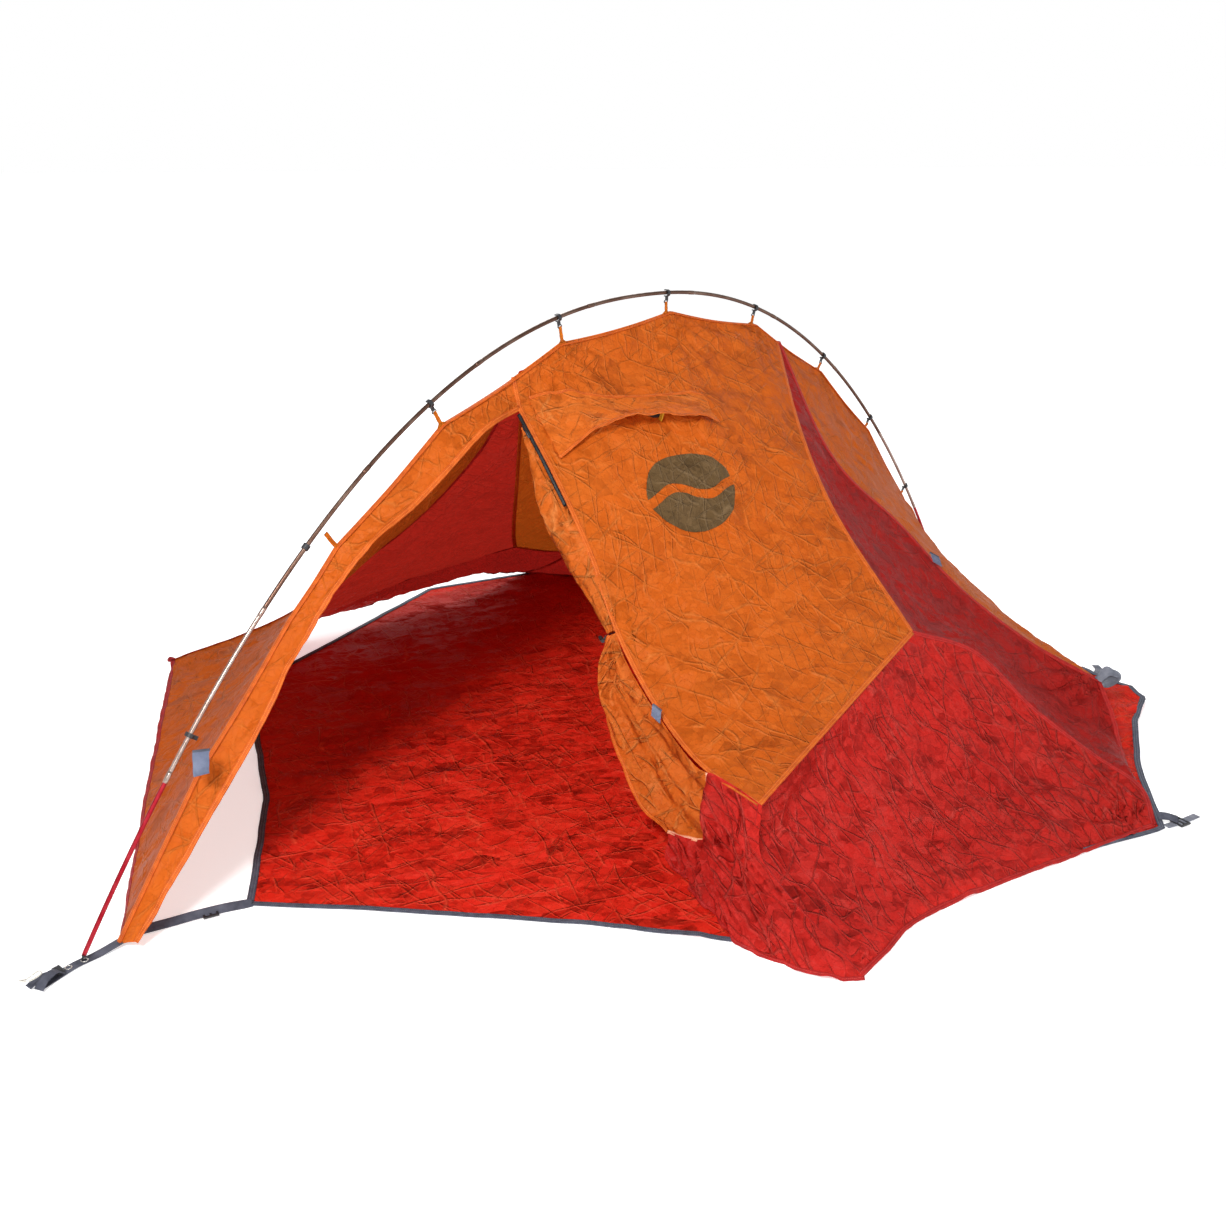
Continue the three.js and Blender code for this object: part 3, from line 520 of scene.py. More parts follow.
# Painted shade: a darker copy of the red nylon for the near wedge, which stands in shade.
WEDGE = nylon("dark_red_nylon", (166, 30, 26), (186, 62, 54), (132, 20, 20), 0.25, 1.3)
FLOOR_NYLON = nylon("floor_nylon", (206, 38, 22), (232, 88, 58), (172, 14, 11), 0, 1.3,
                    (0.52, 0.7))
HOOD = nylon("hood_nylon", (212, 106, 34), (232, 148, 78), (188, 84, 22), 0.25, 1.2)
ORANGE_SEAM = stitched("orange_seam", (196, 90, 24), (214, 122, 52), (166, 68, 14))
PALE_SEAM = stitched("pale_seam", (224, 160, 126), (238, 200, 178), (200, 120, 84))
RED_SEAM = stitched("red_seam", (170, 30, 27), (192, 62, 54), (134, 18, 18))
HEM_RED = stitched("hem_binding", (146, 22, 26), (184, 60, 52), (112, 14, 18))
TAPE = stitched("floor_tape", (84, 88, 102), (126, 130, 142), (58, 60, 70))
GREY = webbing("grey_webbing", (110, 112, 126), (70, 72, 84))
PALE = webbing("pale_webbing", (160, 164, 176), (112, 116, 128))
LOOP = webbing("orange_webbing", (226, 122, 14), (186, 88, 8))
PATCH = webbing("patch_webbing", (136, 144, 168), (96, 104, 128))
ZIP_TAPE = webbing("zip_fabric", (18, 17, 18), (8, 8, 9))
BRONZE = anodised("bronze_tube", (96, 70, 58), (150, 128, 114), 0.32)
PALETUBE = anodised("pale_tube", (150, 128, 118), (196, 184, 176), 0.3)
REDTUBE = anodised("red_tube", (150, 18, 34), (196, 70, 80), 0.36)
SILVER = anodised("bare_tube", (196, 190, 184), (226, 224, 220), 0.28)
BLACK = plastic("black_plastic", (34, 34, 38), (18, 18, 20))
YELLOW = plastic("yellow_plastic", (212, 164, 30), (180, 130, 20), 0.5)
CORD = braided("white_cord", (226, 222, 212), (170, 166, 156))
DARKCORD = braided("black_cord", (40, 40, 44), (16, 16, 18))
PRINT = nylon("printed_mark", (96, 74, 46), (132, 108, 78), (74, 54, 32), 0.05)
MESH = braided("vent_mesh", (30, 28, 28), (12, 11, 11))


def dress(obj, material, body="tent", instead=()):
    """Gives a piece its material, its body and the CAD nodes that it stands for."""
    obj.data.materials.clear()
    obj.data.materials.append(material)
    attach(obj, body)
    if instead:
        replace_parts(obj, *instead)
    return obj


def bends(obj, material):
    """Gives a piece its material and bakes its place into its mesh."""
    obj.data.materials.append(material)
    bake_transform(obj)
    return obj


# ---- The ridge and the seams, as in the CAD ----
RIDGE_LEFT, RIDGE_RIGHT = -1.56, 1.59  # where the fly meets the ground under the pole
RIDGE = np.array([
    [RIDGE_LEFT, HEM], [-1.35, 0.3], [-1.1, 0.575], [-0.97, 0.705], [-0.665, 0.921], [-0.296, 1.057],
    [0.105, 1.096], [0.469, 1.029], [0.8, 0.858], [1.084, 0.636], [1.333, 0.366], [1.5, 0.16],
    [RIDGE_RIGHT, HEM],
])


def ridge_height(s):
    return float(np.interp(s, RIDGE[:, 0], RIDGE[:, 1]))


def ridge(start, end, n):
    """The ridge between two places along the pole's plan line. It sags a little between its loops."""
    s = np.linspace(start, end, 400)
    gap = np.abs(s[:, None] - RIDGE[None, 1:-1, 0]).min(axis=1)
    sag = 0.007 * np.sin(np.clip(gap / 0.19, 0, 1) * math.pi / 2)
    sag = sag * ease((1.45 - np.abs(s)) / 0.2)
    return spaced([on_plane(a, ridge_height(a) - d) for a, d in zip(s, sag)], n)


LIP, EDGE, LOWER, MAIN, WEDGES, SIDE, BAND = 10, 80, 50, 90, 34, 64, 14  # steps along each border
JAMB = EDGE + LOWER
DOOR_TOP, NEAR_WEDGE_TOP, FAR_WEDGE_TOP = 0.45, 0.58, -0.42
WEDGE_HALF = 0.004  # half the width of a wedge at the ridge
APEX = [-0.365, -0.262, 0.93]
NEAR_TIP, NEAR_CORNER, RIGHT_PEG = [0.1, -1.3, HEM], [1.01, -0.912, HEM], [1.21, -0.35, 0.12]
K1, K2 = [0.55, -0.52, 0.385], [-0.02, -1.03, 0.25]
FAR_TIP, FAR_CORNER, LEFT_PEG = [-0.1, 1.3, HEM], [-1.1, 0.78, HEM], [-1.27, 0.38, 0.13]
FAR_K1, FAR_K2 = [-0.212, 0.82, 0.256], [0.05, 1.13, 0.13]

near = {
    "lip": spaced([on_plane(-DOOR_TOP, ridge_height(-DOOR_TOP)), APEX], LIP),
    "door": smooth([APEX, [-0.3, -0.42, 0.775], [-0.25, -0.53, 0.63], [-0.215, -0.61, 0.49],
                    [-0.16, -0.73, 0.36], [-0.1, -0.88, 0.28], K2], EDGE),
    "tip": smooth([K2, [-0.025, -1.035, 0.15], [0.01, -1.105, 0.09], [0.06, -1.215, 0.04], NEAR_TIP], LOWER),
    "seam": smooth([K2, [0.265, -0.775, 0.318], K1], MAIN),
    "hem": smooth([NEAR_TIP, [0.179, -1.24, HEM], [0.242, -1.184, HEM], [0.333, -1.13, HEM],
                   [0.531, -1.057, HEM], [0.776, -0.985, HEM], NEAR_CORNER], MAIN),
    "wedge_left": smooth([on_plane(NEAR_WEDGE_TOP - WEDGE_HALF, ridge_height(NEAR_WEDGE_TOP)),
                          [0.42, -0.08, 0.77], [0.44, -0.27, 0.62], K1], LIP + EDGE),
    "fold": smooth([K1, [0.74, -0.5, 0.305], [0.86, -0.59, 0.18], [1.0, -0.67, 0.07],
                    [1.045, -0.8, 0.042], NEAR_CORNER], LOWER),
    "wedge_right": smooth([on_plane(NEAR_WEDGE_TOP + WEDGE_HALF, ridge_height(NEAR_WEDGE_TOP)),
                           [0.548, 0.0, 0.69], [0.728, -0.04, 0.515], [0.86, -0.165, 0.36],
                           [1.055, -0.262, 0.205], RIGHT_PEG], LIP + JAMB),
    "corner": smooth([NEAR_CORNER, [1.16, -0.55, 0.03], RIGHT_PEG], WEDGES),
    "end": smooth([RIGHT_PEG, [1.24, 0.05, 0.1], [1.28, 0.45, 0.05], on_plane(RIDGE_RIGHT, HEM)], SIDE),
}
far = {
    "lip": spaced([on_plane(DOOR_TOP, ridge_height(DOOR_TOP)), turned(APEX)], LIP),
    "door": smooth([turned(APEX), [0.3, 0.42, 0.775], [0.25, 0.53, 0.63], [0.2, 0.65, 0.48],
                    [0.14, 0.82, 0.32], FAR_K2], EDGE),
    "tip": smooth([FAR_K2, [-0.02, 1.215, 0.06], FAR_TIP], LOWER),
    "seam": smooth([FAR_K2, [-0.06, 1.035, 0.166], FAR_K1], MAIN),
    "hem": smooth([FAR_TIP, [-0.22, 1.2, 0.05], [-0.34, 1.1, 0.08], [-0.49, 1.03, 0.072],
                   [-0.86, 0.83, 0.056], FAR_CORNER], MAIN),
    "wedge_left": smooth([on_plane(FAR_WEDGE_TOP + WEDGE_HALF, ridge_height(FAR_WEDGE_TOP)),
                          [-0.316, 0.1, 0.674], [-0.243, 0.648, 0.35], FAR_K1], LIP + EDGE),
    "fold": smooth([FAR_K1, [-0.5, 0.76, 0.215], [-0.8, 0.7, 0.135], FAR_CORNER], LOWER),
    "wedge_right": smooth([on_plane(FAR_WEDGE_TOP - WEDGE_HALF, ridge_height(FAR_WEDGE_TOP)),
                           [-0.4, -0.13, 0.872], [-0.439, -0.02, 0.767], [-0.56, 0.136, 0.586],
                           [-0.717, 0.233, 0.434], [-0.938, 0.4, 0.236], [-1.057, 0.45, 0.17], LEFT_PEG],
                          LIP + JAMB),
    "corner": smooth([FAR_CORNER, [-1.19, 0.58, 0.05], LEFT_PEG], WEDGES),
    "end": smooth([on_plane(RIDGE_LEFT, HEM), [-1.29, -0.3, 0.06], LEFT_PEG], SIDE),
}
BAND_OFF = -0.04  # how far the band's free edge is from the pole's plane
BAND_EDGE = [
    [-1.541, 0.02], [-1.377, 0.206], [-1.232, 0.367], [-1.135, 0.494], [-0.996, 0.646],
    [-0.885, 0.723], [-0.792, 0.767], [-0.699, 0.824], [-0.574, 0.906],
]
band_edge = smooth([*[on_plane(s, z, BAND_OFF) for s, z in BAND_EDGE], APEX], JAMB)


# ---- Fly panels ----
def declare(grid):
    """Works out how large a sheet was cut: its longest row and column, and its own area, but neither returns
    nor keeps them.

    A panel that comes to a point fills little of that, so its length is cut back to twice its mean."""
    u, v = lengths(grid)
    wide, long = float(u[:, -1].max()), float(v[-1, :].max())
    a, b = grid[1:, 1:] - grid[:-1, :-1], grid[1:, :-1] - grid[:-1, 1:]
    area = float(np.linalg.norm(np.cross(a, b), axis=2).sum() / 2)
    long = min(long, area / (0.5 * wide))


surfaces = {}


def panel(name, borders, material, seed, **folds):
    """A panel of the fly between its borders. It stands for the CAD node fly_NAME."""
    grid = cloth(fill(*borders), seed, **folds)
    surfaces[name] = grid
    obj = dress(grid_object(name, grid), material, instead=["fly_" + name])
    declare(grid)


def between(a, b, n):
    return spaced([a, b], n)


def lower_borders(side):
    return side["seam"], side["hem"], side["tip"], side["fold"]


def wedge_borders(side):
    top = between(side["wedge_left"][0], side["wedge_right"][0], WEDGES)
    return top, side["corner"], joined(side["wedge_left"], side["fold"]), side["wedge_right"]


def end_borders(side, top, rim):
    return side["wedge_right"], top, between(side["wedge_right"][0], top[0], SIDE), rim


def band_borders(top, edge):
    return top, edge, between(top[0], edge[0], BAND), between(top[-1], edge[-1], BAND)


def hangs(start, end):
    return [on_plane(s, z) for s, z in RIDGE[1:-1] if start <= s <= end]


def build_fly():
    toggle = ([-0.215, -0.61, 0.49], 0.2, 0.009, 11)
    pulls = [*[(p, 0.16, 0.007, 13) for p in hangs(-0.45, 0.6)], toggle, (K1, 0.2, 0.007, 9),
             (K2, 0.15, 0.006, 9)]
    main = (ridge(-DOOR_TOP, NEAR_WEDGE_TOP - WEDGE_HALF, MAIN), near["seam"],
            joined(near["lip"], near["door"]), near["wedge_left"])
    panel("near_main", main, ORANGE, 3, long=(2.5, 8), pulls=pulls)
    panel("near_lower", lower_borders(near), RED, 11, held=(1, 0, 1, 1), size=1.35,
          long=(4, 10), pulls=[(NEAR_CORNER, 0.3, 0.012, 13), (NEAR_TIP, 0.25, 0.009, 9)], ripple=0.004)
    panel("near_wedge", wedge_borders(near), WEDGE, 17, held=(1, 0, 1, 1), size=0.9,
          long=(7, 3), pulls=[(NEAR_CORNER, 0.22, 0.01, 11), (RIGHT_PEG, 0.25, 0.009, 11)])
    top = ridge(NEAR_WEDGE_TOP + WEDGE_HALF, RIDGE_RIGHT, LIP + JAMB)
    panel("right_end", end_borders(near, top, near["end"]), ORANGE, 23, held=(1, 1, 1, 0), size=0.8,
          long=(3, 8), pulls=[(p, 0.14, 0.006, 11) for p in hangs(0.6, 1.5)] + [(RIGHT_PEG, 0.25, 0.009, 9)])
    top = ridge(RIDGE_LEFT, -DOOR_TOP, JAMB)
    panel("near_band", band_borders(top, band_edge), ORANGE, 29, held=(1, 0, 0, 1), size=1.0,
          long=(1.6, 26), pulls=[(p, 0.1, 0.004, 11) for p in hangs(-1.4, -0.5)], ripple=0.003)

    main = (ridge(FAR_WEDGE_TOP + WEDGE_HALF, DOOR_TOP, MAIN)[::-1], far["seam"],
            joined(far["lip"], far["door"]), far["wedge_left"])
    panel("far_main", main, ORANGE, 41, long=(2.5, 8),
          pulls=[(p, 0.16, 0.007, 13) for p in hangs(-0.45, 0.5)])
    panel("far_lower", lower_borders(far), RED, 47, held=(1, 0, 1, 1), size=1.2,
          long=(4, 10), pulls=[(FAR_CORNER, 0.3, 0.01, 13)], ripple=0.004)
    panel("far_wedge", wedge_borders(far), THIN_RED, 53, held=(1, 0, 1, 1), size=0.9,
          long=(7, 3), pulls=[(FAR_CORNER, 0.2, 0.009, 11), (LEFT_PEG, 0.22, 0.008, 11)])
    top = ridge(RIDGE_LEFT, FAR_WEDGE_TOP - WEDGE_HALF, LIP + JAMB)[::-1]
    panel("left_end", end_borders(far, top, far["end"][::-1]), SHADE, 59, held=(1, 1, 1, 0), size=0.7,
          long=(3, 8), pulls=[(LEFT_PEG, 0.25, 0.009, 9)])
    edge = turned(band_edge)[::-1]
    top = ridge(DOOR_TOP, RIDGE_RIGHT, JAMB)
    panel("far_band", band_borders(top, edge), ORANGE, 61, held=(1, 1, 1, 0), size=0.5,
          long=(1.6, 20), pulls=[(p, 0.1, 0.004, 11) for p in hangs(0.5, 1.4)])

    jamb = spaced(edge, JAMB)
    hem = smooth([jamb[-1], [1.05, 0.915, HEM], [0.6, 1.01, HEM], [0.2, 1.16, HEM], FAR_TIP], SIDE)
    door = fill(between(jamb[0], far["door"][0], SIDE), hem, jamb, joined(far["door"], far["tip"]))
    door = cloth(door, 67, held=(1, 0, 1, 1), size=1.1, long=(3, 6), ripple=0.004,
                 pulls=[(jamb[0], 0.3, 0.01, 11)])
    for name, part, material, node in (("far_door_top", door[: EDGE + 1], ORANGE, "far_door_upper"),
                                       ("far_door_foot", door[EDGE:], RED, "far_door_lower")):
        obj = dress(grid_object(name, part), material, instead=[node])
        declare(part)
    surfaces["far_door"] = door


def border(name, side):
    """A border line of a panel and the panel's normals along it."""
    grid = surfaces[name]
    pick = {"top": np.s_[0], "bottom": np.s_[-1], "left": np.s_[:, 0], "right": np.s_[:, -1]}[side]
    return grid[pick], grid_normals(grid)[pick]


def trim(name, surface, side, material, lift=0.0):
    """A sewn edge along a border of a surface, lifted off it if need be."""
    line, normal = border(surface, side)
    strip = strip_object(name, line + UP * lift, normal, TRIM_WIDTH, SEAM_RISE)
    dress(strip, material)


def build_seams():
    rows = [
        ("seam_near_door", "near_main", "left", ORANGE_SEAM),
        ("seam_near_lower", "near_main", "bottom", ORANGE_SEAM),
        ("seam_near_wedge", "near_main", "right", ORANGE_SEAM),
        ("seam_near_fold", "near_lower", "right", RED_SEAM),
        ("seam_near_tip", "near_lower", "left", RED_SEAM),
        ("seam_right_end", "near_wedge", "right", RED_SEAM),
        ("seam_far_door", "far_main", "left", ORANGE_SEAM),
        ("seam_far_lower", "far_main", "bottom", ORANGE_SEAM),
        ("seam_far_wedge", "far_main", "right", ORANGE_SEAM),
        ("seam_far_fold", "far_lower", "right", RED_SEAM),
        ("seam_far_tip", "far_lower", "left", RED_SEAM),
        ("seam_left_end", "far_wedge", "right", RED_SEAM),
        ("hem_near_lower", "near_lower", "bottom", RED_SEAM),
        ("hem_near_corner", "near_wedge", "bottom", RED_SEAM),
        ("hem_right_end", "right_end", "right", ORANGE_SEAM),
        ("hem_near_band", "near_band", "bottom", ORANGE_SEAM),
        ("hem_far_lower", "far_lower", "bottom", RED_SEAM),
        ("hem_far_corner", "far_wedge", "bottom", HEM_RED),
        ("hem_left_end", "left_end", "right", HEM_RED),
        ("hem_far_band", "far_band", "bottom", ORANGE_SEAM),
        ("hem_far_door", "far_door", "bottom", RED_SEAM),
    ]
    for name, of, side, material in rows:
        line, normal = border(of, side)
        keep = np.linalg.norm(np.diff(line, axis=0, prepend=line[:1] - 1), axis=1) > 1e-5
        obj = strip_object(name, line[keep], normal[keep], SEAM_WIDTH, SEAM_RISE)
        dress(obj, material)
    line = ridge(RIDGE_LEFT, RIDGE_RIGHT, 420)
    out = unit(np.cross(np.gradient(line, axis=0), ACROSS))
    ridge_seam = strip_object("seam_ridge", line, out, 0.014, 0.0022)
    dress(ridge_seam, ORANGE_SEAM)


build_fly()
build_seams()


# ---- The vent, the printed mark and the doors' hardware ----
def over(name, u, v, height=0.0):
    """A point over a panel: u from left to right, v downwards, from 0 to 1, at a height off the cloth."""
    grid = surfaces[name]
    n = grid_normals(grid)
    y, x = v * (len(grid) - 1), u * (grid.shape[1] - 1)
    j, i = min(int(y), len(grid) - 2), min(int(x), grid.shape[1] - 2)
    a, b = y - j, x - i
    share = [(1 - a) * (1 - b), (1 - a) * b, a * (1 - b), a * b]
    near4 = [(j, i), (j, i + 1), (j + 1, i), (j + 1, i + 1)]
    return sum(w * (grid[k] + n[k] * height) for w, k in zip(share, near4))


VENT_ENDS, VENT_TOP = (0.033, 0.578), (0.1, 0.172, 0.216, 0.258)
VENT_FOOT, VENT_LIFT = (0.244, 0.25, 0.283, 0.344), 0.034


def vent_place(t, down, height):
    u = VENT_ENDS[0] + (VENT_ENDS[1] - VENT_ENDS[0]) * t
    thirds = np.linspace(0, 1, 4)
    top, foot = np.interp(t, thirds, VENT_TOP), np.interp(t, thirds, VENT_FOOT)
    return over("near_main", u, top + (foot - top) * down, height)


def build_vent():
    rows, cols = 26, 76
    grid = np.zeros((rows, cols, 3))
    for j in range(rows):
        for i in range(cols):
            down, t = j / (rows - 1), i / (cols - 1)
            arch = math.sin(math.pi * min(t * 0.8 + 0.03, 1)) ** 1.6
            grid[j, i] = vent_place(t, down, 0.002 + 0.004 * down + VENT_LIFT * down ** 1.5 * arch)
    hood = cloth(grid, 83, held=(1, 0, 1, 1), size=0.45, long=(2, 14), ripple=0.002)
    surfaces["hood"] = hood
    joint = joint_of("vent_flap")
    root, turn = np.array(joint["pos_m"]), np.array(joint["axis"])
    drop = hood[-1].mean(axis=0) - root
    drop = unit(drop - turn * (drop @ turn)) * 0.11

    piece = bends(grid_object("vent_cover", hood), HOOD)
    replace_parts(piece, "vent_hood")
    declare(hood)
    for name, side in (("vent_brim", "bottom"), ("vent_top_seam", "top")):
        line, normal = border("hood", side)
        seam = strip_object(name, line, normal, TRIM_WIDTH, 0.0016)
        bends(seam, ORANGE_SEAM)
    columns = [(t, 0.24 + 0.32 * math.exp(-((t - 0.64) / 0.07) ** 2)) for t in np.linspace(0.14, 0.9, 77)]
    rows = [[vent_place(t, 0.29 + reach * j / 12, 0.0012) for t, reach in columns] for j in range(13)]
    mesh = np.array(rows)
    screen = dress(grid_object("vent_screen", mesh), MESH)
    declare(mesh)


def build_mark():
    """A plain oval print with a band left clear across it."""
    centre, across, down = (0.42, 0.452), 0.178, 0.086
    for k, (low, high) in enumerate(((-1.0, -0.12), (0.12, 1.0))):
        rows = []
        for h in np.linspace(low, high, 26):
            half = math.sqrt(max(1 - h * h, 0.0004))
            line = []
            for w in np.linspace(-half, half, 44):
                wave = 0.16 * math.sin(w * 4.2)
                y = h + (wave if abs(h - math.copysign(0.12, h)) < 1e-9 else wave * (1 - abs(h)))
                lean = 0.25 * y
                line.append(over("near_main", centre[0] + across * (w * 0.95 + lean * 0.1),
                                 centre[1] + down * (y + 0.42 * w), 0.0012))
            rows.append(line)
        grid = np.array(rows)
        piece = dress(grid_object(f"print_{k + 1}", grid), PRINT)
        declare(grid)


ROLL = np.array([
    [-0.357, -0.285, 0.888, 0.01], [-0.343, -0.32, 0.842, 0.025], [-0.305, -0.414, 0.722, 0.04],
    [-0.262, -0.503, 0.607, 0.041], [-0.235, -0.556, 0.535, 0.03], [-0.22, -0.59, 0.48, 0.013],
])
TAIL_LEFT = [
    [-0.232, -0.6, 0.478], [-0.248, -0.598, 0.43], [-0.25, -0.585, 0.344], [-0.23, -0.624, 0.26],
    [-0.21, -0.668, 0.195], [-0.183, -0.729, 0.12], [-0.143, -0.819, 0.083],
]
TAIL_RIGHT = [[-0.214, -0.6, 0.478], [-0.2, -0.66, 0.43], [-0.162, -0.742, 0.356], [-0.104, -0.892, 0.277],
              [-0.09, -0.908, 0.272]]
TAIL_HEM = [[-0.143, -0.819, 0.083], [-0.085, -0.885, 0.095], [-0.058, -0.908, 0.14],
            [-0.078, -0.908, 0.205], [-0.09, -0.908, 0.272]]
FOOT_RIGHT = [[-0.018, -1.042, 0.252], [-0.022, -1.055, 0.15], [0.014, -1.128, 0.09], [0.066, -1.235, 0.042],
              [0.104, -1.312, HEM]]
FOOT_HEM = [[-0.15, -0.83, HEM], [-0.125, -0.96, HEM], [-0.115, -1.03, HEM], [-0.087, -1.16, HEM],
            [0.0, -1.262, HEM], [0.06, -1.302, HEM], [0.104, -1.312, HEM]]


def build_near_door():
    path = smooth(ROLL[:, :3], 90)
    run = np.linspace(0, 1, 91)
    radius = np.interp(run, np.linspace(0, 1, len(ROLL)), ROLL[:, 3])
    along = unit(np.gradient(path, axis=0))
    side = unit(np.cross(along, UP))
    face = np.cross(side, along)
    turns = np.linspace(0.6, 0.6 + 2 * math.pi + 1.3, 54)
    spiral = 0.83 + 0.2 * (turns - turns[0]) / (turns[-1] - turns[0])
    grid = np.zeros((len(path), len(turns), 3))
    for i, (a, s) in enumerate(zip(turns, spiral)):
        bulge = 1 + 0.1 * np.sin(2 * a + 6 * run) + 0.06 * np.sin(5 * a - 9 * run + 1)
        gather = 1 + 0.14 * np.sin(9 * a) * (ease((run - 0.72) / 0.28) + ease((0.2 - run) / 0.2))
        r = (radius * s * bulge * gather)[:, None]
        grid[:, i] = path + r * (math.cos(a) * side + math.sin(a) * face)
    grid = cloth(grid, 91, held=(1, 1, 0, 0), size=0.55, long=(14, 3))
    roll = dress(grid_object("door_bundle", grid), TAIL, instead=["door_roll"])
    edge, normal = grid[:, -1], grid_normals(grid, (0, 0, 0.9))[:, -1]
    dress(strip_object("door_bundle_hem", edge, normal, 0.01, 0.0012), ORANGE_SEAM)

    left, right = smooth(TAIL_LEFT, 90), smooth(TAIL_RIGHT, 90)
    flat = fill(between(left[0], right[0], 60), smooth(TAIL_HEM, 60), left, right)
    n = grid_normals(flat, (0.5, 0.3, 0.1))
    u, v = np.linspace(0, 1, 61)[None, :], np.linspace(0, 1, 91)[:, None]
    loose = ease(v / 0.3)
    fold = 0.012 * loose * np.sin(2 * math.pi * (1.9 * u + 0.35 * v)) * (1 - 0.3 * v)
    fold = fold + 0.006 * ease(v / 0.12) * np.sin(2 * math.pi * (4.6 * u - 0.7 * v)) * (1.1 - 0.7 * v)
    flat = flat + n * (fold * ease((1 - u) / 0.15) + 0.006)[..., None]
    tail = cloth(flat, 97, held=(1, 0, 0, 1), size=0.75, long=(16, 4), ripple=0.003)
    surfaces["tail"] = tail
    piece = dress(grid_object("door_skirt", tail), TAIL, instead=["door_tail"])
    declare(tail)
    trim("door_skirt_hem", "tail", "left", ORANGE_SEAM)
    trim("door_skirt_seam", "tail", "bottom", PALE_SEAM)

    top = smooth([*tail[-1][::12], [-0.05, -0.975, 0.264], FOOT_RIGHT[0]], 100)
    bottom = smooth(FOOT_HEM, 100)
    flat = fill(top, bottom, between(top[0], bottom[0], 50), smooth(FOOT_RIGHT, 50))
    n = grid_normals(flat, (0.3, -0.8, 0.1))
    u, v = np.linspace(0, 1, 101)[None, :], np.linspace(0, 1, 51)[:, None]
    fold = 0.013 * np.sin(2 * math.pi * (3.4 * u + 0.5 * v)) + 0.007 * np.sin(2 * math.pi * (8.3 * u - v))
    fold = fold * ease(v / 0.3) * (1 - 0.55 * v) * ease((1 - u) / 0.12)
    hem = cloth(flat + n * fold[..., None], 101, held=(1, 0, 0, 1), size=1.1, long=(12, 5), ripple=0.003)
    surfaces["tail_foot"] = hem
    piece = dress(grid_object("door_skirt_foot", hem), RED, instead=["door_tail_hem"])
    declare(hem)
    trim("door_foot_hem", "tail_foot", "bottom", RED_SEAM, 0.001)


ZIP_FACING = unit(np.array([-0.45, -0.75, 0.5]))


def build_zip():
    path = spaced([near["door"][0] * 0.85 + near["door"][10] * 0.15, near["door"][10], near["door"][20]], 120)
    path = smooth(path[::30], 120) + [-0.013, -0.009, 0.004]
    tape = strip_object("zip_tape", path, ZIP_FACING, 0.0085, 0.0007)
    dress(tape, ZIP_TAPE, instead=["door_zip"])
    along = unit(np.gradient(path, axis=0))
    side = unit(np.cross(along, ZIP_FACING))
    verts, faces = [], []
    for k in range(2, len(path) - 2):
        for s in (-1, 1):
            at = path[k] + ZIP_FACING * 0.0011 + side[k] * s * 0.0011 + along[k] * (0.0005 * s)
            a, b, c = side[k] * 0.0016, along[k] * 0.0006, ZIP_FACING * 0.0009
            corners = [at + x * a + y * b + z * c for x in (-1, 1) for y in (-1, 1) for z in (-1, 1)]
            first = len(verts)
            verts += corners
            quads = ((0, 1, 3, 2), (4, 6, 7, 5), (0, 4, 5, 1), (2, 3, 7, 6), (0, 2, 6, 4), (1, 5, 7, 3))
            faces += [tuple(first + q for q in quad) for quad in quads]
    dress(mesh_object("zip_teeth", verts, faces, flat=True), BLACK)


# ---- The pole ----
def pole_line():
    share = np.linspace(-1, 1, 2401)
    z = FOOT_TOP + (POLE_TOP - FOOT_TOP) * (1 - np.abs(share) ** POWER)
    return spaced(np.array([on_plane(a * HALF_SPAN, b) for a, b in zip(share, z)]), SECTIONS * SECTION_STEPS)


def build_pole():
    line = pole_line()
    for k in range(SECTIONS):
        part = line[k * SECTION_STEPS: (k + 1) * SECTION_STEPS + 1]
        gap = 0.02  # of a step, left open under the ferrule
        body = np.vstack([part[0] * (1 - gap) + part[1] * gap, part[1:-1],
                          part[-1] * (1 - gap) + part[-2] * gap])
        radii = np.full(len(body), POLE_RADIUS)
        radii[0] = radii[-1] = POLE_RADIUS - 0.0004
        is_end = k in (0, SECTIONS - 1)
        tube = tube_object(f"pole_tube_{k + 1}", body, radii, 20)
        tint = REDTUBE if is_end else PALETUBE if k in (1, SECTIONS - 2) else BRONZE
        dress(tube, tint,
              instead=[f"pole_section_{k + 1}"])
    for k in range(1, SECTIONS):
        at = line[k * SECTION_STEPS - 2: k * SECTION_STEPS + 3]
        ferrule = tube_object(f"ferrule_{k}", at, [0.0049, 0.00525, 0.00525, 0.00525, 0.0049], 20)
        dress(ferrule, PALETUBE if k in (1, 2, SECTIONS - 2, SECTIONS - 1) else BRONZE)
    for name, end, inner in (("near", line[0], line[1]), ("far", line[-1], line[-2])):
        d = unit(end - inner)
        stops = np.array([end + d * x for x in (0.0, 0.001, 0.004, 0.0085, 0.0105)])
        tip = tube_object(f"pole_tip_{name}", stops, [0.0044, 0.0046, 0.0026, 0.0024, 0.0016], 16)
        dress(tip, BLACK)


def bevelled(obj, width, segments=3):
    b = obj.modifiers.new("edges", "BEVEL")
    b.width, b.segments, b.limit_method, b.angle_limit = width, segments, "ANGLE", math.radians(40)
    obj.data.polygons.foreach_set("use_smooth", [False] * len(obj.data.polygons))


def cad_look(node, material, bevel=0.0, segments=3):
    obj = frame["nodes"][node]
    obj.data.materials.clear()
    obj.data.materials.append(material)
    if bevel:
        bevelled(obj, bevel, segments)
    return obj


def joint_of(body):
    return next(j for j in frame["joints"] if j["child"] == body)


def centre(node):
    low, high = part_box(node)
    return np.array((low + high) / 2)


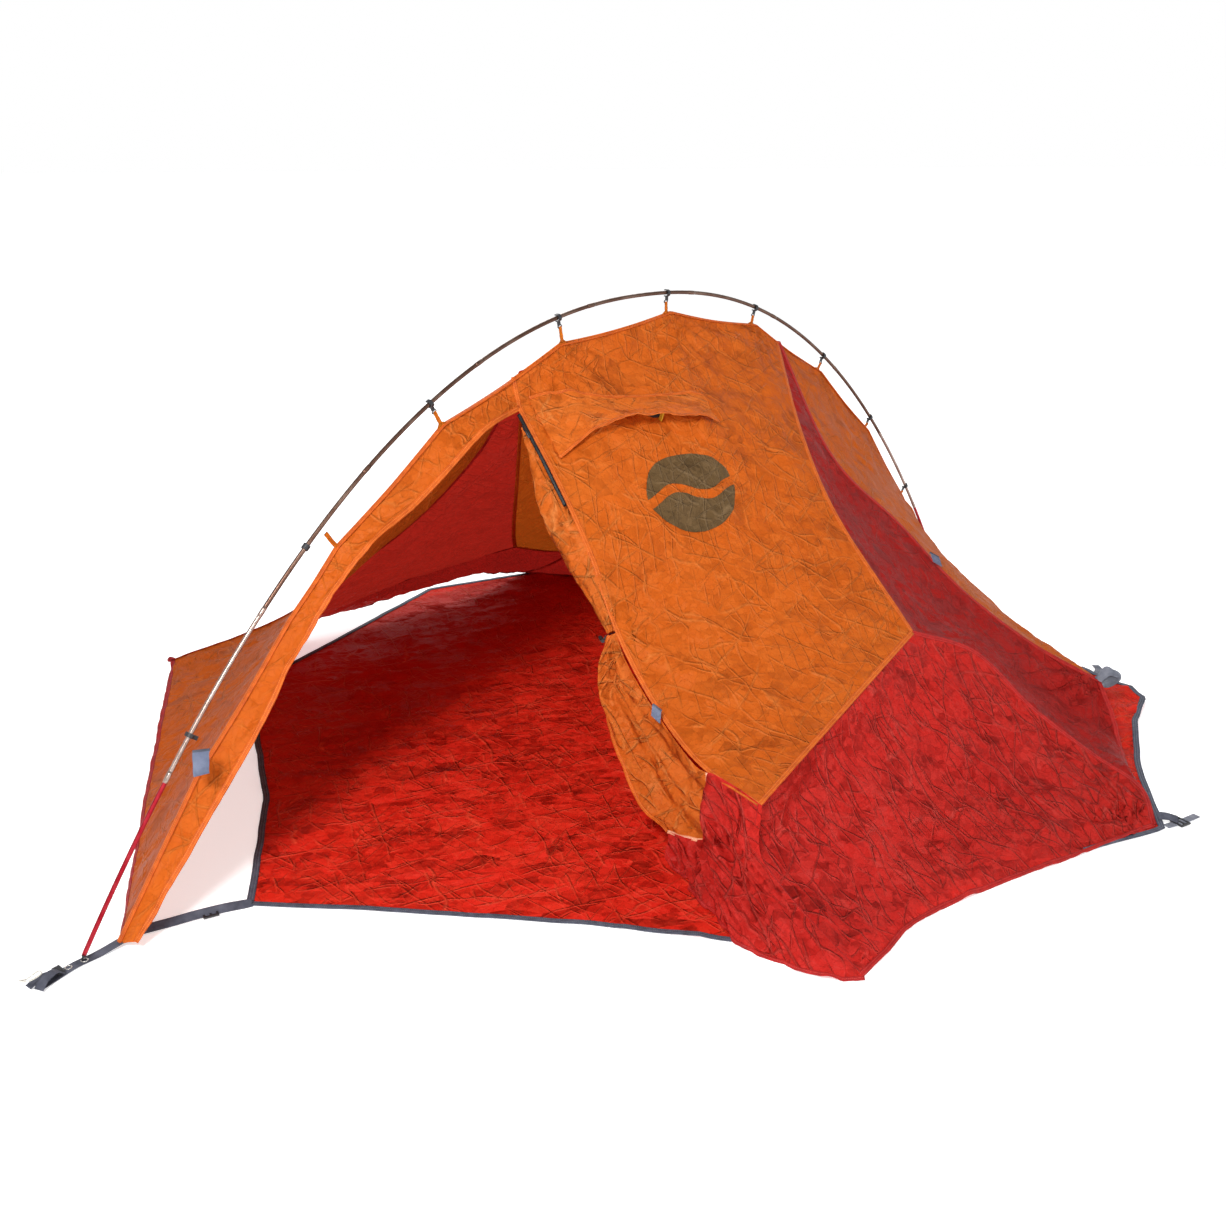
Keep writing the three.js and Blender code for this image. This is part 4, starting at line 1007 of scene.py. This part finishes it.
def build_clips():
    line = pole_line()
    along = unit(np.gradient(line, axis=0))
    for k in range(3, 10):
        root = np.array(joint_of(f"clip_{k}")["pos_m"])
        cad_look(f"pole_clip_{k}", BLACK, 0.0007)
        near_k = np.argmin(np.linalg.norm(line - centre(f"pole_clip_{k}"), axis=1))
        at, t = line[near_k], along[near_k]
        out = unit(np.cross(t, ACROSS))
        eye = at - out * 0.0225
        angle = np.linspace(0, 2 * math.pi, 29)
        ring = np.array([eye + 0.0062 * math.cos(a) * t + 0.0038 * math.sin(a) * out for a in angle])
        bar = tube_object(f"clip_eye_{k}", ring, np.full(29, 0.0013), 8, caps=False)
        dress(bar, BLACK, f"clip_{k}")
        rows = []
        for s in np.linspace(0, 1, 26):
            middle = eye * (1 - s) + root * s
            half = 0.0042 + 0.0016 * math.sin(s * 9) ** 2 * s + 0.009 * ease((s - 0.72) / 0.28)
            rows.append([middle + t * half * w + ACROSS * 0.0009 * math.cos(w * 1.3)
                         for w in np.linspace(-1, 1, 9)])
        front = np.array(rows)
        loop = np.concatenate([front, (front - ACROSS * 0.0022)[:, ::-1]], axis=1)
        piece = grid_object(f"loop_strap_{k}", loop, closed=True)
        bends(piece, LOOP)
        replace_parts(piece, f"clip_loop_{k}")
    cad_look("pole_clip_1", BLACK, 0.0007)
    cad_look("pole_clip_2", BLACK, 0.0009)
    low, high = (np.array(p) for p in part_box("clip_loop_2"))
    root = on_plane(-0.97, ridge_height(-0.97))
    tip = np.array([low[0] + 0.004, low[1] + 0.003, high[2]])
    t = unit(np.cross(tip - root, ACROSS))
    rows = [[root + (tip - root) * s + t * 0.005 * w + ACROSS * (0.001 + 0.002 * math.sin(s * 5))
             for w in np.linspace(-1, 1, 9)] for s in np.linspace(0, 1, 20)]
    front = np.array(rows)
    tab = np.concatenate([front, (front - ACROSS * 0.002)[:, ::-1]], axis=1)
    dress(grid_object("loose_tab", tab, closed=True), LOOP, instead=["clip_loop_2"])


# ---- The groundsheet ----
FLOOR = [
    [-1.05, -0.76], [-0.74, -0.862], [-0.35, -1.007], [-0.09, -1.13], [0.08, -1.235], [0.34, -1.085],
    [0.59, -0.99], [0.79, -0.975], [1.022, -0.928], [1.15, -0.65], [1.295, -0.41], [1.42, -0.27],
    [1.375, -0.09], [1.18, 0.25], [1.09, 0.76], [0.7, 0.96], [0.06, 1.336], [-0.463, 1.2],
    [-0.862, 0.7], [-0.99, 0.55], [-1.05, 0.1], [-1.02, -0.29],
]


def build_floor():
    outline = spaced([[x, y, 0.0] for x, y in [*FLOOR, FLOOR[0]]], 360)
    wobble = 0.004 * np.array([noise.noise((x * 9, y * 9, 3.0)) for x, y, _ in outline])
    away = unit(outline)
    outline = outline - away * np.abs(wobble)[:, None]
    share = np.maximum(np.linspace(0, 1, 110) ** 0.8, 0.0005)
    grid = outline[None] * share[:, None, None]
    fold = 0.02 * (crumple(grid, 5.5, 5) - 0.2) + 0.009 * (crumple(grid, 14, 8) - 0.25)
    x, y = grid[..., 0], grid[..., 1]
    streak = streaks(x + 0.35 * y, y - 0.3 * x, 1.6, 15, 7)
    rise = np.clip(fold, 0, None) + 0.006 * np.clip(streak, 0, None)
    inside = ease((0.97 - np.linalg.norm(grid / np.maximum(np.abs(outline)[None], 0.4), axis=2) * 0.7) / 0.3)
    under = np.ones_like(x)
    for line in (near["hem"], far["hem"], near["corner"], far["corner"]):
        for p in line[::6]:
            under = np.minimum(under, ease(np.hypot(x - p[0], y - p[1]) / 0.09))
    ear = ease((x - 1.2) / 0.12) * ease((0.05 - y) / 0.1)
    rise = 0.0012 + rise * np.clip(under * inside + 0.12, 0, 1) * (1 - ear)
    rise = rise + ear * (0.018 + 0.022 * crumple(grid, 13, 12) + 0.012 * streak)
    grid[..., 2] = np.maximum(rise, 0.0008)
    sheet = dress(grid_object("floor_cloth", grid), FLOOR_NYLON, instead=["groundsheet"])
    edge = grid[-1] + [0, 0, 0.0016]
    dress(strip_object("floor_edge_tape", edge, UP, 0.016, 0.0012), TAPE)


# ---- Webbing, buckles and patches ----
WIDE, NARROW = 0.025, 0.02  # widths of webbing


def strap(name, points, width, material=GREY, instead=(), up=UP, thick=0.0018, n=60):
    obj = strip_object(name, smooth(points, n), up, width, thick / 2, thick / 2)
    return dress(obj, material, instead=instead)


def torus(name, at, axis, radius, wire, material, body="tent", stretch=1.0):
    axis = unit(np.array(axis, float))
    first = unit(np.cross(axis, [0.31, 0.52, 0.79]))
    second = np.cross(axis, first)
    ring = [np.array(at) + radius * (math.cos(a) * first * stretch + math.sin(a) * second)
            for a in np.linspace(0, 2 * math.pi, 41)]
    return dress(tube_object(name, ring, np.full(41, wire), 10, caps=False), material, body)


def build_webbing():
    laid = 0.0016  # the height of webbing that lies on the ground

    def flat(s, off=0.0, h=laid):
        return on_plane(s, h, off)

    line = [flat(-1.73, -0.02), flat(-1.7, -0.012), flat(-1.65), flat(-1.6, 0.002), flat(-1.57, 0, 0.007)]
    strap("foot_strap_near", [*line, flat(-1.535, 0, 0.012)], WIDE, GREY, ["foot_webbing_near"])
    line = [flat(-1.735, -0.03, 0.004), flat(-1.72, -0.024, 0.016), flat(-1.695, -0.014, 0.017)]
    strap("foot_fold_near", [*line, flat(-1.68, -0.01, 0.006)], 0.023)
    line = [flat(-1.745, -0.006, 0.003), flat(-1.72, -0.004, 0.011), flat(-1.69, -0.002, 0.008)]
    strap("foot_fold_low", line, NARROW)
    line = [flat(1.73), flat(1.66), flat(1.585, 0, 0.006)]
    strap("foot_strap_far", line, WIDE, GREY, ["foot_webbing_far"])
    for side, s in (("near", -1), ("far", 1)):
        for k, place in enumerate((1.63, 1.663)):
            torus(f"grommet_{side}_{k + 1}", flat(s * place, 0, laid + 0.0022), UP, 0.0062, 0.0013, SILVER)
        strap(f"foot_lock_{side}", [flat(s * 1.69, 0, 0.0055), flat(s * 1.675, 0, 0.007)], 0.03, BLACK,
              thick=0.004, n=6)
    ring = [flat(-1.74, 0.012, 0.01), flat(-1.757, 0.0, 0.022), flat(-1.748, -0.02, 0.026)]
    ring += [flat(-1.72, -0.012, 0.024), flat(-1.716, 0.01, 0.018), flat(-1.74, 0.012, 0.01)]
    line = smooth(ring, 70)
    dress(tube_object("foot_cord_ring", line, np.full(71, 0.0016), 8, caps=False), CORD)

    turned_up = unit(np.array([0.2, -0.62, 0.75]))
    line = [[-1.282, -0.832, 0.012], [-1.262, -0.822, 0.0095], [-1.2, -0.803, 0.0085], [-1.16, -0.79, 0.0085]]
    strap("floor_strap", [*line, [-1.1, -0.774, 0.0075], [-1.044, -0.762, 0.004]], NARROW, GREY,
          ["floor_strap_near"], up=turned_up)
    strap("corner_strap", [[1.036, -0.922, laid], [1.08, -0.915, 0.004], [1.14, -0.893, laid]], NARROW, PALE,
          ["corner_webbing_right"])
    line = smooth([[1.022, -0.906, 0.024], [1.045, -0.908, 0.02], [1.072, -0.914, 0.011]], 16)
    lead = strip_object("corner_strap_up", line, turned_up, NARROW, 0.0009, 0.0009)
    bends(lead, GREY)
    line = [[1.366, -0.105, laid], [1.402, -0.062, 0.004], [1.43, -0.03, 0.004], [1.44, 0.004, 0.003]]
    strap("peg_strap", line, 0.022, PALE, ["end_peg_webbing"])
    peg = np.array(RIGHT_PEG)
    edge_on = unit(ACROSS * 0.4 + unit(np.array([0.25, -0.9, 0.3])))
    loops = ((0.055, 0.022, -0.012), (0.042, 0.03, 0.004), (0.03, 0.012, -0.016))
    for k, (reach, rise, drop) in enumerate(loops):
        y = 0.004 * k
        loop = [peg + [-0.004, y, 0.002], peg + [reach * 0.5, y, rise], peg + [reach, y - 0.004, rise * 0.4],
                peg + [reach * 0.55, y, drop], peg + [-0.004, y + 0.002, -0.005]]
        strap(f"end_loop_{k + 1}", loop, NARROW - 0.002 * k, PALE, up=edge_on)
    left = np.array(LEFT_PEG)
    strap("left_loop", [left + [0.004, 0, 0], left + [-0.008, 0.003, 0.003], left + [-0.011, 0.004, -0.002],
                        left + [0.004, 0.003, -0.004]], 0.01, HEM_RED, up=ACROSS)
    for name in ("ladder_lock_near", "ladder_lock_right"):
        cad_look(name, BLACK, 0.0012)
    cad_look("shock_cord", CORD)


def build_patches():
    """Small grey guy-line tabs: a folded patch of webbing with a stitched top."""
    spots = {
        "guy_tab_left": ([[-1.092, -0.784, 0.38], [-1.126, -0.774, 0.375], [-1.096, -0.802, 0.335],
                          [-1.128, -0.792, 0.325]], ["guy_patch_left"]),
        "guy_tab_right": ([[0.786, -0.122, 0.452], [0.812, -0.128, 0.437], [0.792, -0.134, 0.427],
                           [0.818, -0.14, 0.412]], ["guy_patch_right"]),
        "guy_tab_door": ([[-0.17, -0.752, 0.368], [-0.155, -0.77, 0.358], [-0.178, -0.768, 0.348],
                          [-0.162, -0.785, 0.334]], []),
    }
    for name, (corners, nodes) in spots.items():
        a, b, c, d = (np.array(p) for p in corners)
        flat = fill(between(a, b, 16), between(c, d, 16), between(a, c, 24), between(b, d, 24))
        n = grid_normals(flat)
        v = np.linspace(0, 1, 25)[:, None]
        flat = flat + n * (0.004 * np.sin(math.pi * v) ** 2 + 0.002 * np.sin(9 * v))[..., None]
        piece = dress(grid_object(name, flat), PATCH, instead=nodes)
        declare(flat)
        hem = strip_object(name + "_hem", flat[1], n[1], 0.006, 0.001)
        dress(hem, GREY)


def build_moving():
    cad_look("door_toggle", BLACK, 0.0006)
    at = centre("toggle_loop")
    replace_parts(torus("toggle_cord", at, (0.25, -0.3, -0.9), 0.0185, 0.0015, DARKCORD), "toggle_loop")
    torus("toggle_cord_upper", at + [0.0005, -0.001, 0.0032], (0.3, -0.2, -0.93), 0.0178, 0.0015, DARKCORD)
    cad_look("vent_strut", YELLOW, 0.0008)
    axis = unit(np.array(joint_of("zip_pull")["axis"]))
    at = centre("zip_slider")
    cad_look("zip_slider", BLACK, 0.0012)
    out = unit(ZIP_FACING - axis * (ZIP_FACING @ axis))
    pull = [at + out * a + axis * b for a, b in ((0.0035, 0.004), (0.0065, 0.012), (0.005, 0.03))]
    tab = strip_object("zip_pull_tab", smooth(pull, 20), out, 0.005, 0.0009)
    dress(tab, BLACK, "zip_pull")


build_vent()
build_mark()
build_near_door()
build_zip()
build_pole()
build_clips()
build_floor()
build_webbing()
build_patches()
build_moving()


# ---- Floor, light and camera ----
FLOOR_SIZE, FLOOR_DROP, FLOOR_GLOW = 120, -0.0005, 0.53
LIGHTS = (  # name, place, size, watts, what it is aimed at
    ("key", (-2.3, -4.1, 3.8), 1.1, 280, (0.1, -0.2, 0.4)),
    ("fill", (2.6, -4.4, 1.6), 2.2, 42, (0.0, -0.2, 0.3)),
    ("back", (0.5, 4.6, 3.8), 3.0, 120, (0, 0, 0.4)),
)
SKY_FADE = (0.12, 0.5, 1.0, 0.5)  # from and to this height of view, from and to this strength
CAMERA_AT, CAMERA_TILT, CAMERA_TURN, LENS = (-0.864, -3.273, 1.529), 70, -13.5, 38.6


def build_stage():
    bpy.ops.mesh.primitive_plane_add(size=FLOOR_SIZE, location=(0, 0, FLOOR_DROP))
    floor = bpy.context.object
    floor.name = "studio_floor"
    look = Look("studio_floor", 0.9, Specular_IOR_Level=0.1, Emission_Strength=FLOOR_GLOW,
                Emission_Color=(1, 1, 1, 1))
    tone = look.noise(0.6, 2).outputs["Fac"]
    look.colour(look.mix(tone, (0.84, 0.84, 0.84, 1), (0.86, 0.86, 0.86, 1)))
    floor.data.materials.append(look.material)
    for name, where, size, power, aim in LIGHTS:
        data = bpy.data.lights.new(name, "AREA")
        data.size, data.energy = size, power
        lamp = bpy.data.objects.new(name, data)
        lamp.location = where
        lamp.rotation_euler = (Vector(aim) - Vector(where)).to_track_quat("-Z", "Y").to_euler()
        bpy.context.scene.collection.objects.link(lamp)
    world = bpy.data.worlds.new("studio")
    world.use_nodes = True
    nodes, links = world.node_tree.nodes, world.node_tree.links
    place = nodes.new("ShaderNodeTexCoord")
    parts = nodes.new("ShaderNodeSeparateXYZ")
    fade = nodes.new("ShaderNodeMapRange")
    for socket, value in zip(list(fade.inputs)[1:], SKY_FADE):
        socket.default_value = value
    links.new(place.outputs["Generated"], parts.inputs[0])
    links.new(parts.outputs["Z"], fade.inputs[0])
    links.new(fade.outputs[0], nodes["Background"].inputs["Strength"])
    nodes["Background"].inputs["Color"].default_value = (1, 1, 1, 1)
    bpy.context.scene.world = world
    bpy.context.scene.view_settings.view_transform = "Standard"
    data = bpy.data.cameras.new("camera")
    data.lens, data.sensor_width = LENS, 36.0
    camera = bpy.data.objects.new("camera", data)
    camera.location = CAMERA_AT
    camera.rotation_euler = (math.radians(CAMERA_TILT), 0, math.radians(CAMERA_TURN))
    bpy.context.scene.collection.objects.link(camera)
    bpy.context.scene.camera = camera


build_stage()
